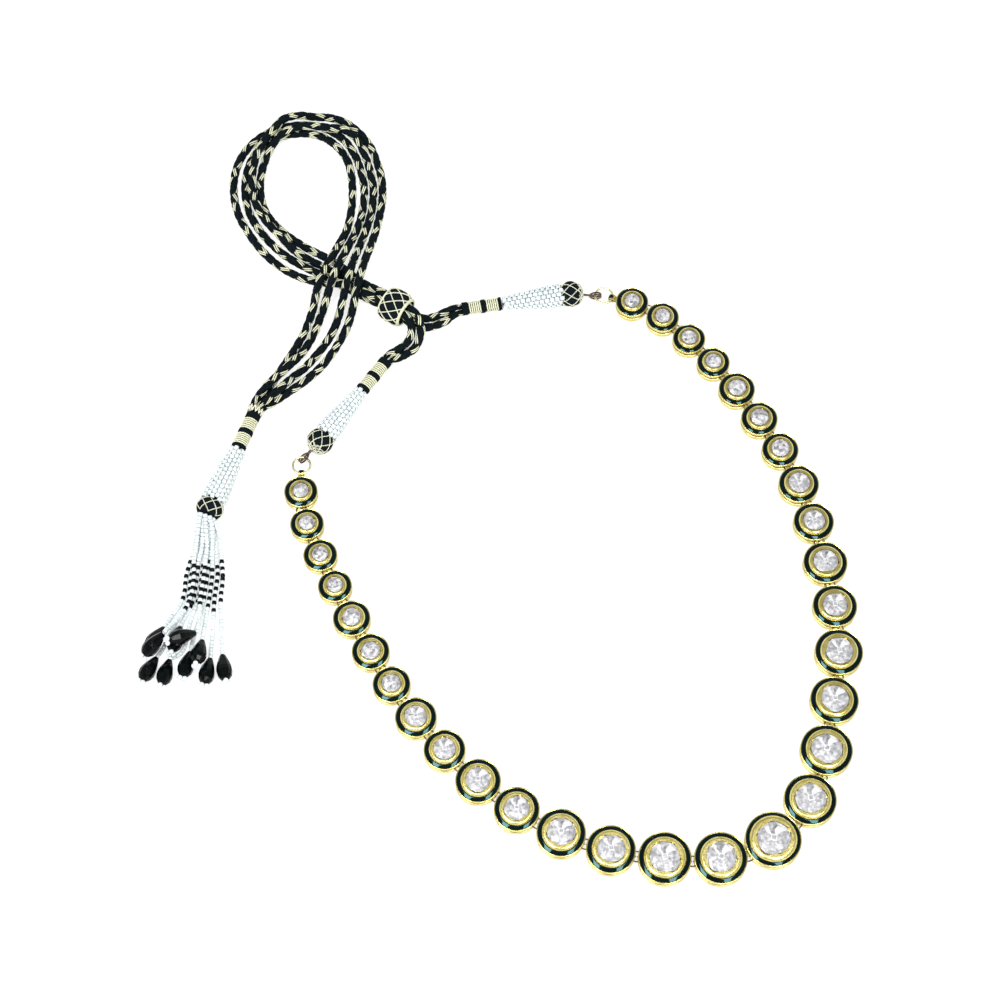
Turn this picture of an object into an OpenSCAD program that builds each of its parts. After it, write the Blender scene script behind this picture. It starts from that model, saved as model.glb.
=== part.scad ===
// Kundan necklace laid flat: a graduated line of enamelled gold bezels with uncut stones, closed at the
// back by a braided cord tie with a slider and a beaded tassel.
// Origin: centre of the flat back of the centre bezel. +Z is up, +Y runs from the centre bezel towards
// the cord tie, and the necklace lies on the plane z = 0. Millimetres.

/* [Bezels] */
// Outer diameter of the centre bezel
centre_d = 15.4; // [14:0.1:17]
// Outer diameter of the smallest bezels, at both ends of the line
end_d = 9.6; // [9:0.1:11]
// Height of the gold rim above the flat back
rim_h = 3.8; // [3.6:0.1:4.4]
// Height of the gold collar that holds the stone, above the flat back
collar_h = 4.9; // [4.7:0.1:5.6]
// Width of the gold rim outside the enamel
rim_w = 0.28; // [0.24:0.02:0.4]
// Width of the enamel ring on the centre bezel
enamel_w_centre = 0.95; // [0.8:0.05:1.3]
// Width of the enamel ring on the other bezels
enamel_w_side = 1.15; // [0.9:0.05:1.3]
// Depth of the groove round the side of each bezel
groove_depth = 0.9; // [0.8:0.05:1]

/* [Stones] */
// Mean diameter of the centre stone
stone_d_centre = 9.7; // [8.5:0.1:10.2]
// Mean diameter of the smallest stones
stone_d_end = 4.8; // [4:0.1:5]
// Sides of a stone's outline
stone_sides = 10; // [8:1:12]
// Height of a stone's crown as a share of its diameter
crown_share = 0.07; // [0.05:0.01:0.12]

/* [Links] */
// Gap between the rims of neighbouring bezels
rim_gap = 0.74; // [0.6:0.02:1]
// Diameter of the link and eye wire
link_wire = 0.4; // [0.34:0.02:0.44]
// Width of a link across the line, between its wire centres
link_w = 2.8; // [2.4:0.1:3]

/* [End rings and hooks] */
// Outer diameter of the end rings
ring_d = 5.8; // [5.4:0.1:6.2]
// Diameter of the end rings' wire
ring_wire = 0.7; // [0.6:0.05:0.8]
// Diameter of the copper hook wire
hook_wire = 0.56; // [0.44:0.02:0.6]

/* [Cord ends] */
// Diameter of the thread-covered balls at the chain's ends
ball_d = 7.6; // [7:0.1:8]
// Diameter of the narrow end of the beaded sleeves
sleeve_end_d = 4; // [3.8:0.1:4.4]
// Diameter of the thread wraps that bind each pair of cords
wrap_d = 3.8; // [3.6:0.1:4]
// Length of the thread wraps; the beaded sleeves take up the rest
wrap_len = 11.4; // [9:0.1:13]

/* [Slider] */
// Outer diameter of the slider ball
slider_d = 10.4; // [9.8:0.1:10.6]
// Length of the slider ball along its bore
slider_len = 7.4; // [7:0.1:8.2]
// Bore of the slider, round the four cords
slider_bore = 6.7; // [6.7:0.1:7.2]

/* [Cords] */
// Diameter of each braided cord
cord_d = 2.5; // [2.2:0.1:2.6]

/* [Tassel] */
// Diameter of the tassel's thread-covered ball
tassel_ball_d = 8; // [7.6:0.1:8.2]
// Diameter of the tassel's bead strings
strand_d = 1.2; // [1:0.1:1.2]
// Largest diameter of the drops
drop_d = 4.6; // [4:0.1:4.6]
// Length of the drops
drop_len = 8; // [7:0.1:8]

/* [Hidden] */
$fn = 48;
GOLD = [0.87, 0.68, 0.27];
ENAMEL = [0.02, 0.09, 0.09];
STONE = [0.9, 0.9, 0.92];
COPPER = [0.6, 0.4, 0.26];
BLACK = [0.05, 0.05, 0.06];
PEARL = [0.93, 0.93, 0.9];

bezels_a_side = 15;
// Size of the bezel at each station from the centre outwards: 0 is the centre's, 6 the smallest.
SIZES = [0, 1, 1, 2, 2, 3, 3, 4, 4, 5, 5, 5, 6, 6, 6, 6];
smallest = 6;
// [station, heading in degrees] of the line from the centre to each end, as it lies.
HEADINGS_RIGHT = [[0, 34], [1, 60], [2, 80], [3, 77], [5, 97], [7, 104], [9, 118], [11, 125], [13, 134], [14, 140],
    [15, 161]];
HEADINGS_LEFT = [[0, 214], [1, 185], [2, 175], [3, 166], [5, 146], [7, 133], [9, 123], [11, 118], [13, 114], [14, 112],
    [15, 91]];

piece_gap = 0.05; // between pieces that are set in each other
back_round = 0.5;
edge_round = 0.2;
groove_low = 1.85;
groove_high = 2.75;
link_z = (groove_low + groove_high) / 2;
channel_floor = rim_h - 0.6;
collar_foot = rim_h + 0.25;
collar_top_share = 1.12; // the collar's top opens at this share of the stone's radius
pocket_floor = 3.6;
enamel_below = 0.1; // the enamel's outer edge lies this far below the rim's top
enamel_rise = 0.28; // from the outer edge to the inner one
enamel_crown = 0.16;
girdle_below = 0.1; // a stone's widest line lies this far below the collar's top

eye_ring = 0.58; // radius of an eye's wire centre
eye_wire = 0.38;
hole_inset = 0.5; // an eye's hole lies this far inside the bezel's rim
link_pitch = rim_gap + 2 * hole_inset;
link_corner = 0.5;

// The end bezels' bail: a short band bent to a loop, which stands across the end ring
bail_hole_r = 0.7;
bail_wall = 0.35;
bail_w = 1.8;
bail_bevel = 0.15;
bail_reach = 1.3; // the bail's hole lies this far outside the rim
bail_stem_h = 1.2;
bail_root = 0.3; // the stem starts this far inside the groove's floor
ring_r = (ring_d - ring_wire) / 2;
ring_reach = bail_reach + piece_gap + ring_r;

// Where the end rings lie when the line has its standard sizes; everything past them moves with them.
RING_RIGHT = [-43.031, 165.715, 0];
RING_LEFT = [-130.803, 110.779, 0];
BALL_RIGHT = [-52.9, 165.5];
BALL_LEFT = [-125.6, 117.8];
BALL_TASSEL = [-156.4, 96.7];
HEADING_RIGHT = 187.3; // from each ball along its sleeve and wrap
HEADING_LEFT = 55.2;
HEADING_TASSEL = 69.6;
// The right pair of cords is taken up between these x when the ends move.
blend_from = -107;
blend_to = -85;

// Distances along each cord end's axis, from its ball's centre
cup_start = 2;
wrap_stop = 32;
wrap_start = wrap_stop - wrap_len;
sleeve_stop = wrap_start - 0.1;
sleeve_wide = 0.95; // share of the ball's diameter at the sleeve's wide end
sleeve_bulge = 0.25;
band_proud = 0.1; // the wraps' thread bands stand this far above their core
tassel_sleeve_d = 4.9;
tassel_wrap_d = 4.1;
tassel_ball_len = 6.6;
strand_exit = -2.2; // flat face of the tassel's ball, towards the strings
hook_turn = 1.65; // radius of a hook's turns
hook_pitch = 0.68;
hook_opening = 40; // degrees that a hook's first and last turn leave open
hook_spread = 0.76; // between a hook's two shanks, in the ball
hook_root = 1; // the shanks run this far into the ball
hook_bore = 2.4;
hook_bore_depth = 1.4;

SLIDER_AT = [-104.4, 160.5];
SLIDER_HEADING = 145.8;
slider_round = 1.6; // how far the slider's ends draw in
slider_flare = 0.3;
flare_depth = 0.5;

cord_sides = 8;
route_d = 2.6; // the diameter that the routes' heights are written for

// Routes of the four cords, from the thread wraps through the slider, round the loop and back over
// themselves to the tassel. [x, y, z] of the cord's centre.
CORD_1 = [
    [-84.8, 160.4, 1.9], [-86.8, 159.9, 1.6], [-90, 157.7, 1.3], [-93.5, 156.1, 1.3], [-96.5, 155.6, 1.6],
    [-99, 156, 2.6], [-101.8, 157.1, 3.8], [-108.5, 161.7, 3.8], [-112, 164.2, 2.4], [-116, 167, 1.3],
    [-120.5, 169.5, 1.3], [-126, 172.6, 1.3], [-131.5, 175.6, 1.3], [-137, 179, 1.3], [-142, 183.5, 1.3],
    [-146, 188.5, 1.3], [-149, 194, 1.3], [-150.5, 200, 1.3], [-150.6, 206, 1.3], [-149.3, 212, 1.3],
    [-146.5, 216.6, 1.3], [-142, 220, 1.3], [-136.5, 221.6, 1.3], [-131, 221.6, 1.3], [-126.5, 219.8, 1.3],
    [-122.8, 216.6, 1.3], [-120.2, 212.5, 1.3], [-118.8, 207.5, 1.3], [-118.3, 202, 1.3], [-118.5, 195, 1.3],
    [-119.6, 188.5, 1.5], [-121.5, 183, 3], [-123.3, 178, 5], [-125.6, 172.5, 5.8], [-127.6, 167, 5],
    [-129, 161, 2.6], [-131, 155, 1.3], [-134, 148.5, 1.3], [-138, 141.5, 1.3], [-142.2, 134.3, 1.3],
    [-145.3, 129.6, 1], [-145.9, 127.2, 1.2]];
CORD_2 = [
    [-85, 162.3, 1.9], [-87, 162.1, 1.6], [-89.5, 161, 1.3], [-93, 159.2, 1.3], [-96.2, 158.4, 1.9],
    [-100.2, 159.3, 3.8], [-107, 163.9, 3.8], [-110.5, 166.3, 2.4], [-114.5, 169.1, 1.3], [-119, 171.8, 1.3],
    [-124.6, 174.9, 1.3], [-130, 177.8, 1.4], [-135.2, 181, 2.2], [-139.6, 185.5, 3.3], [-143.6, 190, 3.4],
    [-146.5, 195, 3.3], [-148.3, 200.5, 3.3], [-148.5, 206, 3.4], [-147.8, 211, 3.8], [-146, 216, 4],
    [-143, 221, 4.2], [-139.7, 225.2, 4], [-135.5, 227.4, 2.6], [-130.5, 227.6, 1.4], [-125.5, 227.3, 1.3],
    [-120.8, 225.5, 1.3], [-116.7, 222, 1.3], [-113.4, 217.6, 1.3], [-111.2, 212, 1.3], [-109.7, 206.5, 1.3],
    [-109.2, 200, 1.3], [-109.9, 193.5, 1.4], [-111, 187.5, 2], [-112.2, 182, 3.8], [-113.5, 176.5, 6],
    [-114.8, 171, 6.9], [-115.9, 165.8, 6.8], [-117, 161, 4.6], [-118.4, 156.5, 2.3], [-121, 151, 1.3],
    [-124.5, 145, 1.3], [-129, 139.8, 1.3], [-134.5, 135.3, 1.3], [-140, 131.2, 1.3], [-143.3, 128.9, 1],
    [-144.4, 126.6, 1.2]];
CORD_3 = [
    [-108, 144.8, 1.9], [-106.9, 146.3, 1.6], [-105.3, 147.4, 1.4], [-103.2, 148.6, 1.6], [-101.2, 150, 2.3],
    [-100, 151.8, 3.3], [-99.7, 153.8, 4.4], [-100.3, 155.7, 5.7], [-101.5, 157, 6.4], [-103.3, 158.2, 6.6],
    [-108.5, 161.7, 6.6], [-112, 164.2, 5.3],
    [-116, 167, 4.1], [-120, 168.7, 4], [-124.5, 169.3, 3.2], [-129, 170.9, 1.6], [-134.5, 173, 1.3],
    [-140, 176.5, 1.3], [-145, 181.5, 1.3], [-149.2, 187.5, 1.3], [-152.5, 194, 1.3], [-154, 200.5, 1.3],
    [-154, 207, 1.3], [-152.2, 213.5, 1.3], [-148.5, 218.8, 1.3], [-143.5, 222.5, 1.3], [-137.5, 224.4, 1.3],
    [-131, 224.7, 1.3], [-125.8, 222.8, 1.3], [-121, 219.2, 1.3], [-118, 214.5, 1.3], [-116, 209, 1.3],
    [-114.8, 203, 1.3], [-114.9, 196.5, 1.3], [-116, 190.5, 1.4], [-117.7, 185, 2.6], [-119.5, 179.5, 4.8],
    [-121.6, 173.5, 6.4], [-123.6, 168, 6.1], [-125.2, 163, 3.8], [-126.8, 158.5, 2], [-128.8, 153, 1.4],
    [-131.6, 147.3, 2], [-136.5, 141, 3.5], [-142, 134.8, 4], [-145.3, 129.7, 3.4], [-145.8, 127.4, 2.9]];
CORD_4 = [
    [-106.4, 143.7, 1.9], [-105.2, 144.9, 1.6], [-103.4, 145.8, 1.3], [-101.2, 146.9, 1.4], [-99, 148.4, 1.9],
    [-97.5, 151, 2.9], [-97, 154, 4.4], [-97.9, 156.9, 5.9], [-99.7, 159, 6.5], [-102, 160.6, 6.6],
    [-107, 163.9, 6.6], [-110.5, 166.3, 5.3],
    [-114.5, 169.1, 4.1], [-118, 172, 3.9], [-121.5, 175.3, 3.2], [-125.3, 178.6, 1.6], [-130.8, 181.8, 1.3],
    [-135.6, 185, 1.3], [-140.1, 188.9, 1.3], [-143.6, 193.3, 1.3], [-145.7, 199, 1.3], [-146.2, 205, 1.3],
    [-145.5, 210, 1.6], [-143.9, 214.3, 2.9], [-141.5, 218.2, 4], [-137.8, 221.5, 4.1], [-134, 223, 3.7],
    [-130.5, 223.2, 3.6], [-126, 222.3, 3.9], [-121.3, 221.7, 3.8], [-117.4, 219, 3], [-115, 214.5, 1.6],
    [-113.1, 208.5, 1.3], [-112, 202.5, 1.3], [-112.3, 195.5, 1.3], [-113.4, 190, 1.6], [-114.8, 184.5, 3],
    [-116.2, 179, 5], [-117.6, 173.5, 6.6], [-118.7, 168.5, 6.9], [-120, 163.5, 5], [-121.4, 158.5, 2.5],
    [-123.6, 153, 1.3], [-127, 147.5, 1.3], [-130.7, 142.6, 1.5], [-135, 138, 2.6], [-140.2, 132, 4],
    [-143.3, 129, 3.4], [-144.3, 126.8, 2.9]];

// One row for each drop: [where its narrow end lies, where its round end points to].
DROPS = [
    [[-168, 61.4, 1.45], [-172, 54.6, 3]],
    [[-167.4, 57.8, 6.9], [-172.6, 51.4, 6.5]],
    [[-169.6, 52.5, 1.45], [-173.1, 45.5, 3]],
    [[-163.4, 61.6, 1.45], [-165.2, 54, 3]],
    [[-165.9, 51.9, 1.45], [-167.5, 44.3, 3]],
    [[-158.6, 58.6, 5.2], [-165.6, 55.6, 7.9]],
    [[-160.2, 54.2, 1.45], [-161.8, 46.4, 3]],
    [[-156.9, 57, 3.1], [-157.8, 49.6, 5.7]],
    [[-154.6, 52.2, 1.45], [-155.7, 44.3, 3]],
    [[-151.2, 53.3, 1.45], [-149.9, 45.5, 3]]];
// Route of each drop's bead string, from the ball's face to a point just short of the drop.
STRINGS = [
    [[-159.4, 94.8, 4.1], [-160.3, 90, 2.1], [-160.6, 86, 0.7], [-161.5, 82, 0.7], [-162.4, 78, 0.7],
        [-163.3, 70, 0.7], [-165.7, 65.5, 0.8], [-167.6, 62.1, 1.3]],
    [[-158.8, 94.4, 5.3], [-159.5, 90, 3.6], [-159.9, 86, 2], [-160.4, 82, 2.2], [-160.2, 78, 2],
        [-161, 70, 2], [-163.6, 64, 3.2], [-165.8, 60.5, 5.4], [-166.9, 58.4, 6.8]],
    [[-158.7, 94.6, 2.9], [-158.9, 90, 1.6], [-159.1, 86, 0.7], [-160.1, 82, 0.7], [-161, 78, 0.7],
        [-161.8, 70, 0.7], [-164.2, 64.5, 0.7], [-165.9, 60.5, 0.7], [-167, 58, 0.7], [-168.2, 55.2, 0.8],
        [-169.3, 53.2, 1.2]],
    [[-158, 94.3, 4.2], [-158.2, 90, 3.1], [-158.3, 86, 2], [-159, 82, 1.6], [-159.3, 80, 1.2], [-159.5, 78, 0.7],
        [-160.3, 70, 0.7], [-161.9, 65.8, 0.8], [-163.2, 62.3, 1.3]],
    [[-157.4, 94.1, 2.9], [-157.4, 90, 1.6], [-157.6, 86, 0.7], [-157.8, 82, 0.7], [-158.1, 78, 0.7],
        [-158.8, 70, 0.7], [-160.7, 64, 0.7], [-161.5, 58.5, 0.7], [-162.3, 55.2, 0.7], [-164.2, 53.1, 0.8],
        [-165.7, 52.5, 1.2]],
    [[-157.4, 93.9, 5.4], [-157.1, 90, 4.1], [-156.9, 86, 2], [-157.1, 82, 2], [-157.3, 78, 2],
        [-158.1, 70, 2], [-157.9, 64, 3.6], [-158, 59, 5]],
    [[-156.7, 93.8, 4.2], [-156.3, 90, 2.8], [-156.1, 86, 0.7], [-156.3, 82, 0.7], [-156.6, 78, 0.7],
        [-157.3, 70, 0.7], [-158.6, 63, 0.7], [-159.7, 58, 0.8], [-160.1, 54.9, 1.3]],
    [[-156.1, 93.4, 5.4], [-155.4, 90, 4], [-155.4, 86, 2], [-155.3, 82, 1.6], [-155.2, 80, 1.2], [-155.2, 78, 0.7],
        [-155.8, 70, 0.7], [-156.4, 63.5, 1.4], [-156.8, 57.7, 2.9]],
    [[-156, 93.6, 2.9], [-155, 90, 1.6], [-154.6, 86, 0.7], [-154.1, 82, 0.7], [-153.7, 78, 0.7],
        [-154.3, 70, 0.7], [-154.3, 62, 0.7], [-154.5, 52.9, 1.3]],
    [[-155.3, 93.3, 4.1], [-153.6, 90, 2.2], [-153.1, 86, 0.7], [-152.7, 82, 0.7], [-152.2, 78, 0.7],
        [-152.5, 70, 0.7], [-151.9, 62, 0.7], [-151.3, 54, 1.3]]];
drop_bore = 0.8;
drop_wall = 0.1; // least wall round a drop's bore
thread_d = 0.5;
thread_before = 0.35; // the thread shows for this much between a string and its drop
thread_past = 1.6; // the thread runs this far past a drop's round end, for the three small pearls

SIDES = [-1, 1];
two = function(n) n < 10 ? str("0", n) : str(n);
side_name = function(side) side < 0 ? "left" : "right";

// Vectors
function dir2(a) = [cos(a), sin(a), 0];
function unit(v) = v / norm(v);
function arc(x, y, r, from, to, steps) =
    [for (i = [0 : steps]) let (a = from + (to - from) * i / steps) [x + r * cos(a), y + r * sin(a)]];

// Sizes that grade from the centre bezel to the end ones
function grade(n) = SIZES[n] / smallest;
function bezel_r(n) = (centre_d + grade(n) * (end_d - centre_d)) / 2;
function enamel_w(n) = n == 0 ? enamel_w_centre : enamel_w_side;
function stone_r(n) = (stone_d_centre + grade(n) * (stone_d_end - stone_d_centre)) / 2;
function enamel_out(n) = bezel_r(n) - rim_w;
function enamel_in(n) = enamel_out(n) - enamel_w(n);

// The line as a linkage: each bezel is rigid, and a link turns halfway between its two neighbours.
function heading(side, n) = lookup(n, side < 0 ? HEADINGS_LEFT : HEADINGS_RIGHT);
function link_heading(side, n) = (heading(side, n) + heading(side, n + 1)) / 2;
function hole_r(n) = bezel_r(n) - hole_inset;
function eye_out(side, n) = centre(side, n) + hole_r(n) * dir2(heading(side, n));
function centre(side, n) = n == 0 ? [0, 0, 0]
    : eye_out(side, n - 1) + link_pitch * dir2(link_heading(side, n - 1)) + hole_r(n) * dir2(heading(side, n));

// How far the ends have moved from where the cords' routes expect them
function ring_centre(side) =
    centre(side, bezels_a_side) + (bezel_r(bezels_a_side) + ring_reach) * dir2(heading(side, bezels_a_side));
function end_shift(side) = ring_centre(side) - (side < 0 ? RING_LEFT : RING_RIGHT);
function settle(p) =
    let (share = min(1, max(0, (p[0] - blend_from) / (blend_to - blend_from))))
    p + end_shift(-1) + share * (end_shift(1) - end_shift(-1));
function ball_centre(side) = (side < 0 ? [each BALL_LEFT, ball_d / 2] : [each BALL_RIGHT, ball_d / 2])
    + end_shift(side);
function tassel_centre() = [each BALL_TASSEL, tassel_ball_d / 2] + end_shift(-1);

// Outline of a stone: a slightly uneven polygon, different for each station
function stone_reach(side, n, a) =
    stone_r(n) * (1 + 0.05 * sin(2 * a + 70 * n * side) + 0.035 * sin(3 * a + 130 * n + 40 * side));
function stone_outline(side, n, scale = 1, more = 0) =
    [for (i = [0 : stone_sides - 1]) let (a = 360 * (i + 0.3 * sin(200 * i + 50 * n * side)) / stone_sides)
        (stone_reach(side, n, a) * scale + more) * [cos(a), sin(a)]];

// A bar of round section swept along points; radius may be one number or a list, one for each point.
function tangent(path, i, closed) =
    let (m = len(path))
    unit(path[closed ? (i + 1) % m : min(i + 1, m - 1)] - path[closed ? (i + m - 1) % m : max(i - 1, 0)]);
module tube(path, radius, sides, up = [0, 0, 1], closed = false) {
    rings = len(path);
    points = [for (i = [0 : rings - 1])
        let (t = tangent(path, i, closed), s = unit(cross(t, up)), u = cross(s, t),
            r = is_list(radius) ? radius[i] : radius)
        for (j = [0 : sides - 1]) let (a = 360 * (j + 0.5) / sides) path[i] + r * (cos(a) * s + sin(a) * u)];
    walls = [for (i = [0 : closed ? rings - 1 : rings - 2]) for (j = [0 : sides - 1])
        let (a = i * sides, b = ((i + 1) % rings) * sides, k = (j + 1) % sides)
        each [[a + j, a + k, b + k], [a + j, b + k, b + j]]];
    caps = closed ? [] : [
        [for (j = [sides - 1 : -1 : 0]) j],
        [for (j = [0 : sides - 1]) (rings - 1) * sides + j]];
    polyhedron(points, [each walls, each caps]);
}

// Turns the z axis to a direction.
module point_to(v) rotate([0, acos(v[2] / norm(v)), atan2(v[1], v[0])]) children();
// Turns the z axis to a heading on the floor, sinking by an angle.
module lie_along(at, heading, sink) translate(at) rotate([0, 90 + sink, heading]) children();

// Bezels
function bezel_profile(n) =
    let (r = bezel_r(n), waist = r - groove_depth, lip = enamel_in(n), top = stone_r(n) * collar_top_share)
    [[0, 0],
        each arc(r - back_round, back_round, back_round, -90, 0, 4),
        each arc(r - edge_round, groove_low - edge_round, edge_round, 0, 90, 2),
        [waist, groove_low], [waist, groove_high],
        each arc(r - edge_round, groove_high + edge_round, edge_round, -90, 0, 2),
        each arc(r - rim_w / 2, rim_h - rim_w / 2, rim_w / 2, 0, 90, 3),
        [r - rim_w, rim_h - rim_w / 4], [r - rim_w, channel_floor], [lip, channel_floor],
        for (t = [0 : 15 : 90]) [lip - (lip - top) * (1 - cos(t)), collar_foot + (collar_h - collar_foot) * sin(t)],
        [0, collar_h]];
module eye(at, ring, wire) translate([at, 0, link_z]) rotate([90, 0, 0])
    rotate_extrude() translate([ring, 0]) circle(d = wire);
function bevelled(x0, x1, y0, y1, b) =
    [[x0 + b, y0], [x1 - b, y0], [x1, y0 + b], [x1, y1 - b], [x1 - b, y1], [x0 + b, y1], [x0, y1 - b], [x0, y0 + b]];
module bail() {
    r = bezel_r(bezels_a_side);
    outside = bail_hole_r + bail_wall;
    translate([r + bail_reach, 0, link_z]) rotate([90, 0, 0])
        rotate_extrude() polygon(bevelled(bail_hole_r, outside, -bail_w / 2, bail_w / 2, bail_bevel));
    translate([r - groove_depth - bail_root, 0, link_z]) rotate([0, 90, 0])
        linear_extrude(groove_depth + bail_root + bail_reach - outside + bail_wall / 2)
        polygon(bevelled(-bail_stem_h / 2, bail_stem_h / 2, -bail_w / 2 + bail_bevel, bail_w / 2 - bail_bevel, bail_bevel));
}
module bezel(side, n) color(GOLD) translate(centre(side, n)) difference() {
    rotate([0, 0, heading(side, n)]) {
        rotate_extrude() polygon(bezel_profile(n));
        eye(-hole_r(n), eye_ring, eye_wire);
        if (n == bezels_a_side) bail();
        else eye(hole_r(n), eye_ring, eye_wire);
    }
    translate([0, 0, pocket_floor]) linear_extrude(collar_h) polygon(stone_outline(side, n, more = piece_gap));
}
module centre_bezel() color(GOLD) difference() {
    union() {
        rotate_extrude() polygon(bezel_profile(0));
        for (side = SIDES) rotate([0, 0, heading(side, 0)]) eye(hole_r(0), eye_ring, eye_wire);
    }
    translate([0, 0, pocket_floor]) linear_extrude(collar_h) polygon(stone_outline(1, 0, more = piece_gap));
}

// Enamel: a low rounded ring in the channel between rim and collar
function enamel_profile(n) =
    let (outer = enamel_out(n) - piece_gap, inner = enamel_in(n) + piece_gap, edge = rim_h - enamel_below)
    [[inner, channel_floor + piece_gap], [outer, channel_floor + piece_gap],
        for (t = [0 : 0.2 : 1]) [outer + (inner - outer) * t, edge + enamel_rise * t + enamel_crown * sin(180 * t)]];
module enamel_ring(side, n) translate(centre(side, n)) rotate_extrude() polygon(enamel_profile(n));
module enamel_rings() color(ENAMEL) {
    enamel_ring(1, 0);
    for (side = SIDES) for (n = [1 : bezels_a_side]) enamel_ring(side, n);
}

// Stones: uncut diamonds with a table, a two-step crown and a tapered base
function stone_levels(n) =
    let (crown = crown_share * 2 * stone_r(n))
    [[0.84, pocket_floor + piece_gap], [1, collar_h - girdle_below], [0.74, collar_h + crown * 0.62],
        [0.4, collar_h + crown]];
module stone(side, n) {
    levels = stone_levels(n);
    m = stone_sides;
    points = [for (level = levels) for (p = stone_outline(side, n, level[0])) [p[0], p[1], level[1]]];
    walls = [for (i = [0 : len(levels) - 2]) for (j = [0 : m - 1]) let (a = i * m, b = a + m, k = (j + 1) % m)
        each [[a + j, b + j, b + k], [a + j, b + k, a + k]]];
    caps = [[for (j = [0 : m - 1]) j], [for (j = [m - 1 : -1 : 0]) (len(levels) - 1) * m + j]];
    translate(centre(side, n)) polyhedron(points, [each walls, each caps]);
}
module stones(side) color(STONE) {
    if (side > 0) stone(side, 0);
    for (n = [1 : bezels_a_side]) stone(side, n);
}

// Links: flat rounded rectangles of wire, each through the eyes of two bezels
function link_path() =
    let (x = link_pitch / 2 - link_corner, y = link_w / 2 - link_corner)
    [for (q = [0 : 3]) let (sx = q == 0 || q == 3 ? 1 : -1, sy = q < 2 ? 1 : -1)
        each [for (a = [0 : 45 : 90]) [sx * x, sy * y, 0] + link_corner * dir2(q * 90 + a)]];
module link(side, n)
    translate(eye_out(side, n) + link_pitch / 2 * dir2(link_heading(side, n)) + [0, 0, link_z])
    rotate([0, 0, link_heading(side, n)]) tube(link_path(), link_wire / 2, 6, closed = true);
module links(side) color(GOLD) for (n = [0 : bezels_a_side - 1]) link(side, n);

// End rings, copper hooks and the balls that hold them
module end_ring(side) color(GOLD) translate(ring_centre(side) + [0, 0, link_z])
    rotate_extrude() translate([ring_r, 0]) circle(d = ring_wire);
// [bearing of the hook on its end ring, roll of its turns]
function hook_stance(side) = side < 0 ? [76, 48] : [180, 90];
function hook_centre(side) = ring_centre(side) + ring_r * dir2(hook_stance(side)[0]) + [0, 0, link_z];
function hook_axis(side) = unit(ball_centre(side) - hook_centre(side));
function hook_normal(side) =
    let (e = hook_axis(side), flat = unit(cross([0, 0, 1], e)), roll = hook_stance(side)[1])
    cos(roll) * cross(e, flat) + sin(roll) * flat;
function hook_path(side) =
    let (c = hook_centre(side), e = hook_axis(side), m = hook_normal(side), f = cross(m, e),
        shank = norm(ball_centre(side) - c) - ball_d / 2 + hook_root, turned = 720 - 2 * hook_opening, steps = 32)
    [c + shank * e + hook_spread / 2 * f - hook_pitch / 2 * m,
        for (i = [0 : steps]) let (a = hook_opening + turned * i / steps)
            c + hook_turn * (cos(a) * e + sin(a) * f) + hook_pitch * (a - 360) / 360 * m,
        c + shank * e - hook_spread / 2 * f + hook_pitch / 2 * m];
module hook(side) color(COPPER) tube(hook_path(side), hook_wire / 2, 6, up = hook_normal(side));
module ball(side) color(BLACK) translate(ball_centre(side)) difference() {
    sphere(d = ball_d);
    point_to(-hook_axis(side)) translate([0, 0, ball_d / 2 - hook_bore_depth]) cylinder(h = ball_d / 2, d = hook_bore);
}

// Cord ends: a beaded sleeve that cups the ball, and the thread wrap beyond it
function sleeve_profile(wide, narrow) =
    [[0, cup_start], for (t = [0 : 0.2 : 1])
        [(wide + (narrow - wide) * t) / 2 + sleeve_bulge * sin(180 * t) * (1 - t),
            cup_start + (sleeve_stop - cup_start) * t],
        [0, sleeve_stop]];
module sleeve(wide, narrow, ball) difference() {
    rotate_extrude() polygon(sleeve_profile(wide, narrow));
    sphere(d = ball + 2 * piece_gap);
}
// Bands of the wrap as [from, to] shares of its length
BANDS = [[0.1, 0.42], [0.55, 0.87]];
module wrap(d, start, stop) {
    translate([0, 0, start]) cylinder(h = stop - start, d = d);
    for (band = BANDS) translate([0, 0, start + band[0] * (stop - start)])
        cylinder(h = (band[1] - band[0]) * (stop - start), d = d + 2 * band_proud);
}
function end_heading(side) = side < 0 ? HEADING_LEFT : HEADING_RIGHT;
// How far an end's axis sinks, so that the ball and the far end of the wrap both lie on the floor
function sink(ball, wrapped) = asin(((ball - wrapped) / 2 - band_proud) / wrap_stop);
function end_sink() = sink(ball_d, wrap_d);
module bead_sleeve(side) color(PEARL) lie_along(ball_centre(side), end_heading(side), end_sink())
    sleeve(ball_d * sleeve_wide, sleeve_end_d, ball_d);
module thread_wrap(side) color(GOLD) lie_along(ball_centre(side), end_heading(side), end_sink())
    wrap(wrap_d, wrap_start, wrap_stop);

// Slider: a woven barrel, rounded at both ends, with a flared bore for the four cords
function slider_profile() =
    let (r = slider_d / 2, h = slider_len / 2, bore = slider_bore / 2)
    [[bore + slider_flare, -h],
        for (a = [-60 : 15 : 60]) [r - slider_round * (1 - cos(a)), h * 0.95 * sin(a) / sin(60)],
        [bore + slider_flare, h], [bore, h - flare_depth], [bore, -h + flare_depth]];
module slider() color(BLACK) lie_along(settle([each SLIDER_AT, slider_d / 2]), SLIDER_HEADING, 0)
    rotate_extrude() polygon(slider_profile());

// Cords: pressed thinner where the wraps bind them
START_SHARES = [0.69, 0.8];
STOP_SHARES = [0.75, 0.62];
function cord_route(route) = [for (p = route) settle([p[0], p[1], p[2] + (cord_d - route_d) / 2])];
function cord_radii(route) = cord_d / 2
    * [each START_SHARES, for (i = [1 : len(route) - len(START_SHARES) - len(STOP_SHARES)]) 1, each STOP_SHARES];
module cord(route) color(BLACK) tube(cord_route(route), cord_radii(route), cord_sides);

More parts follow.
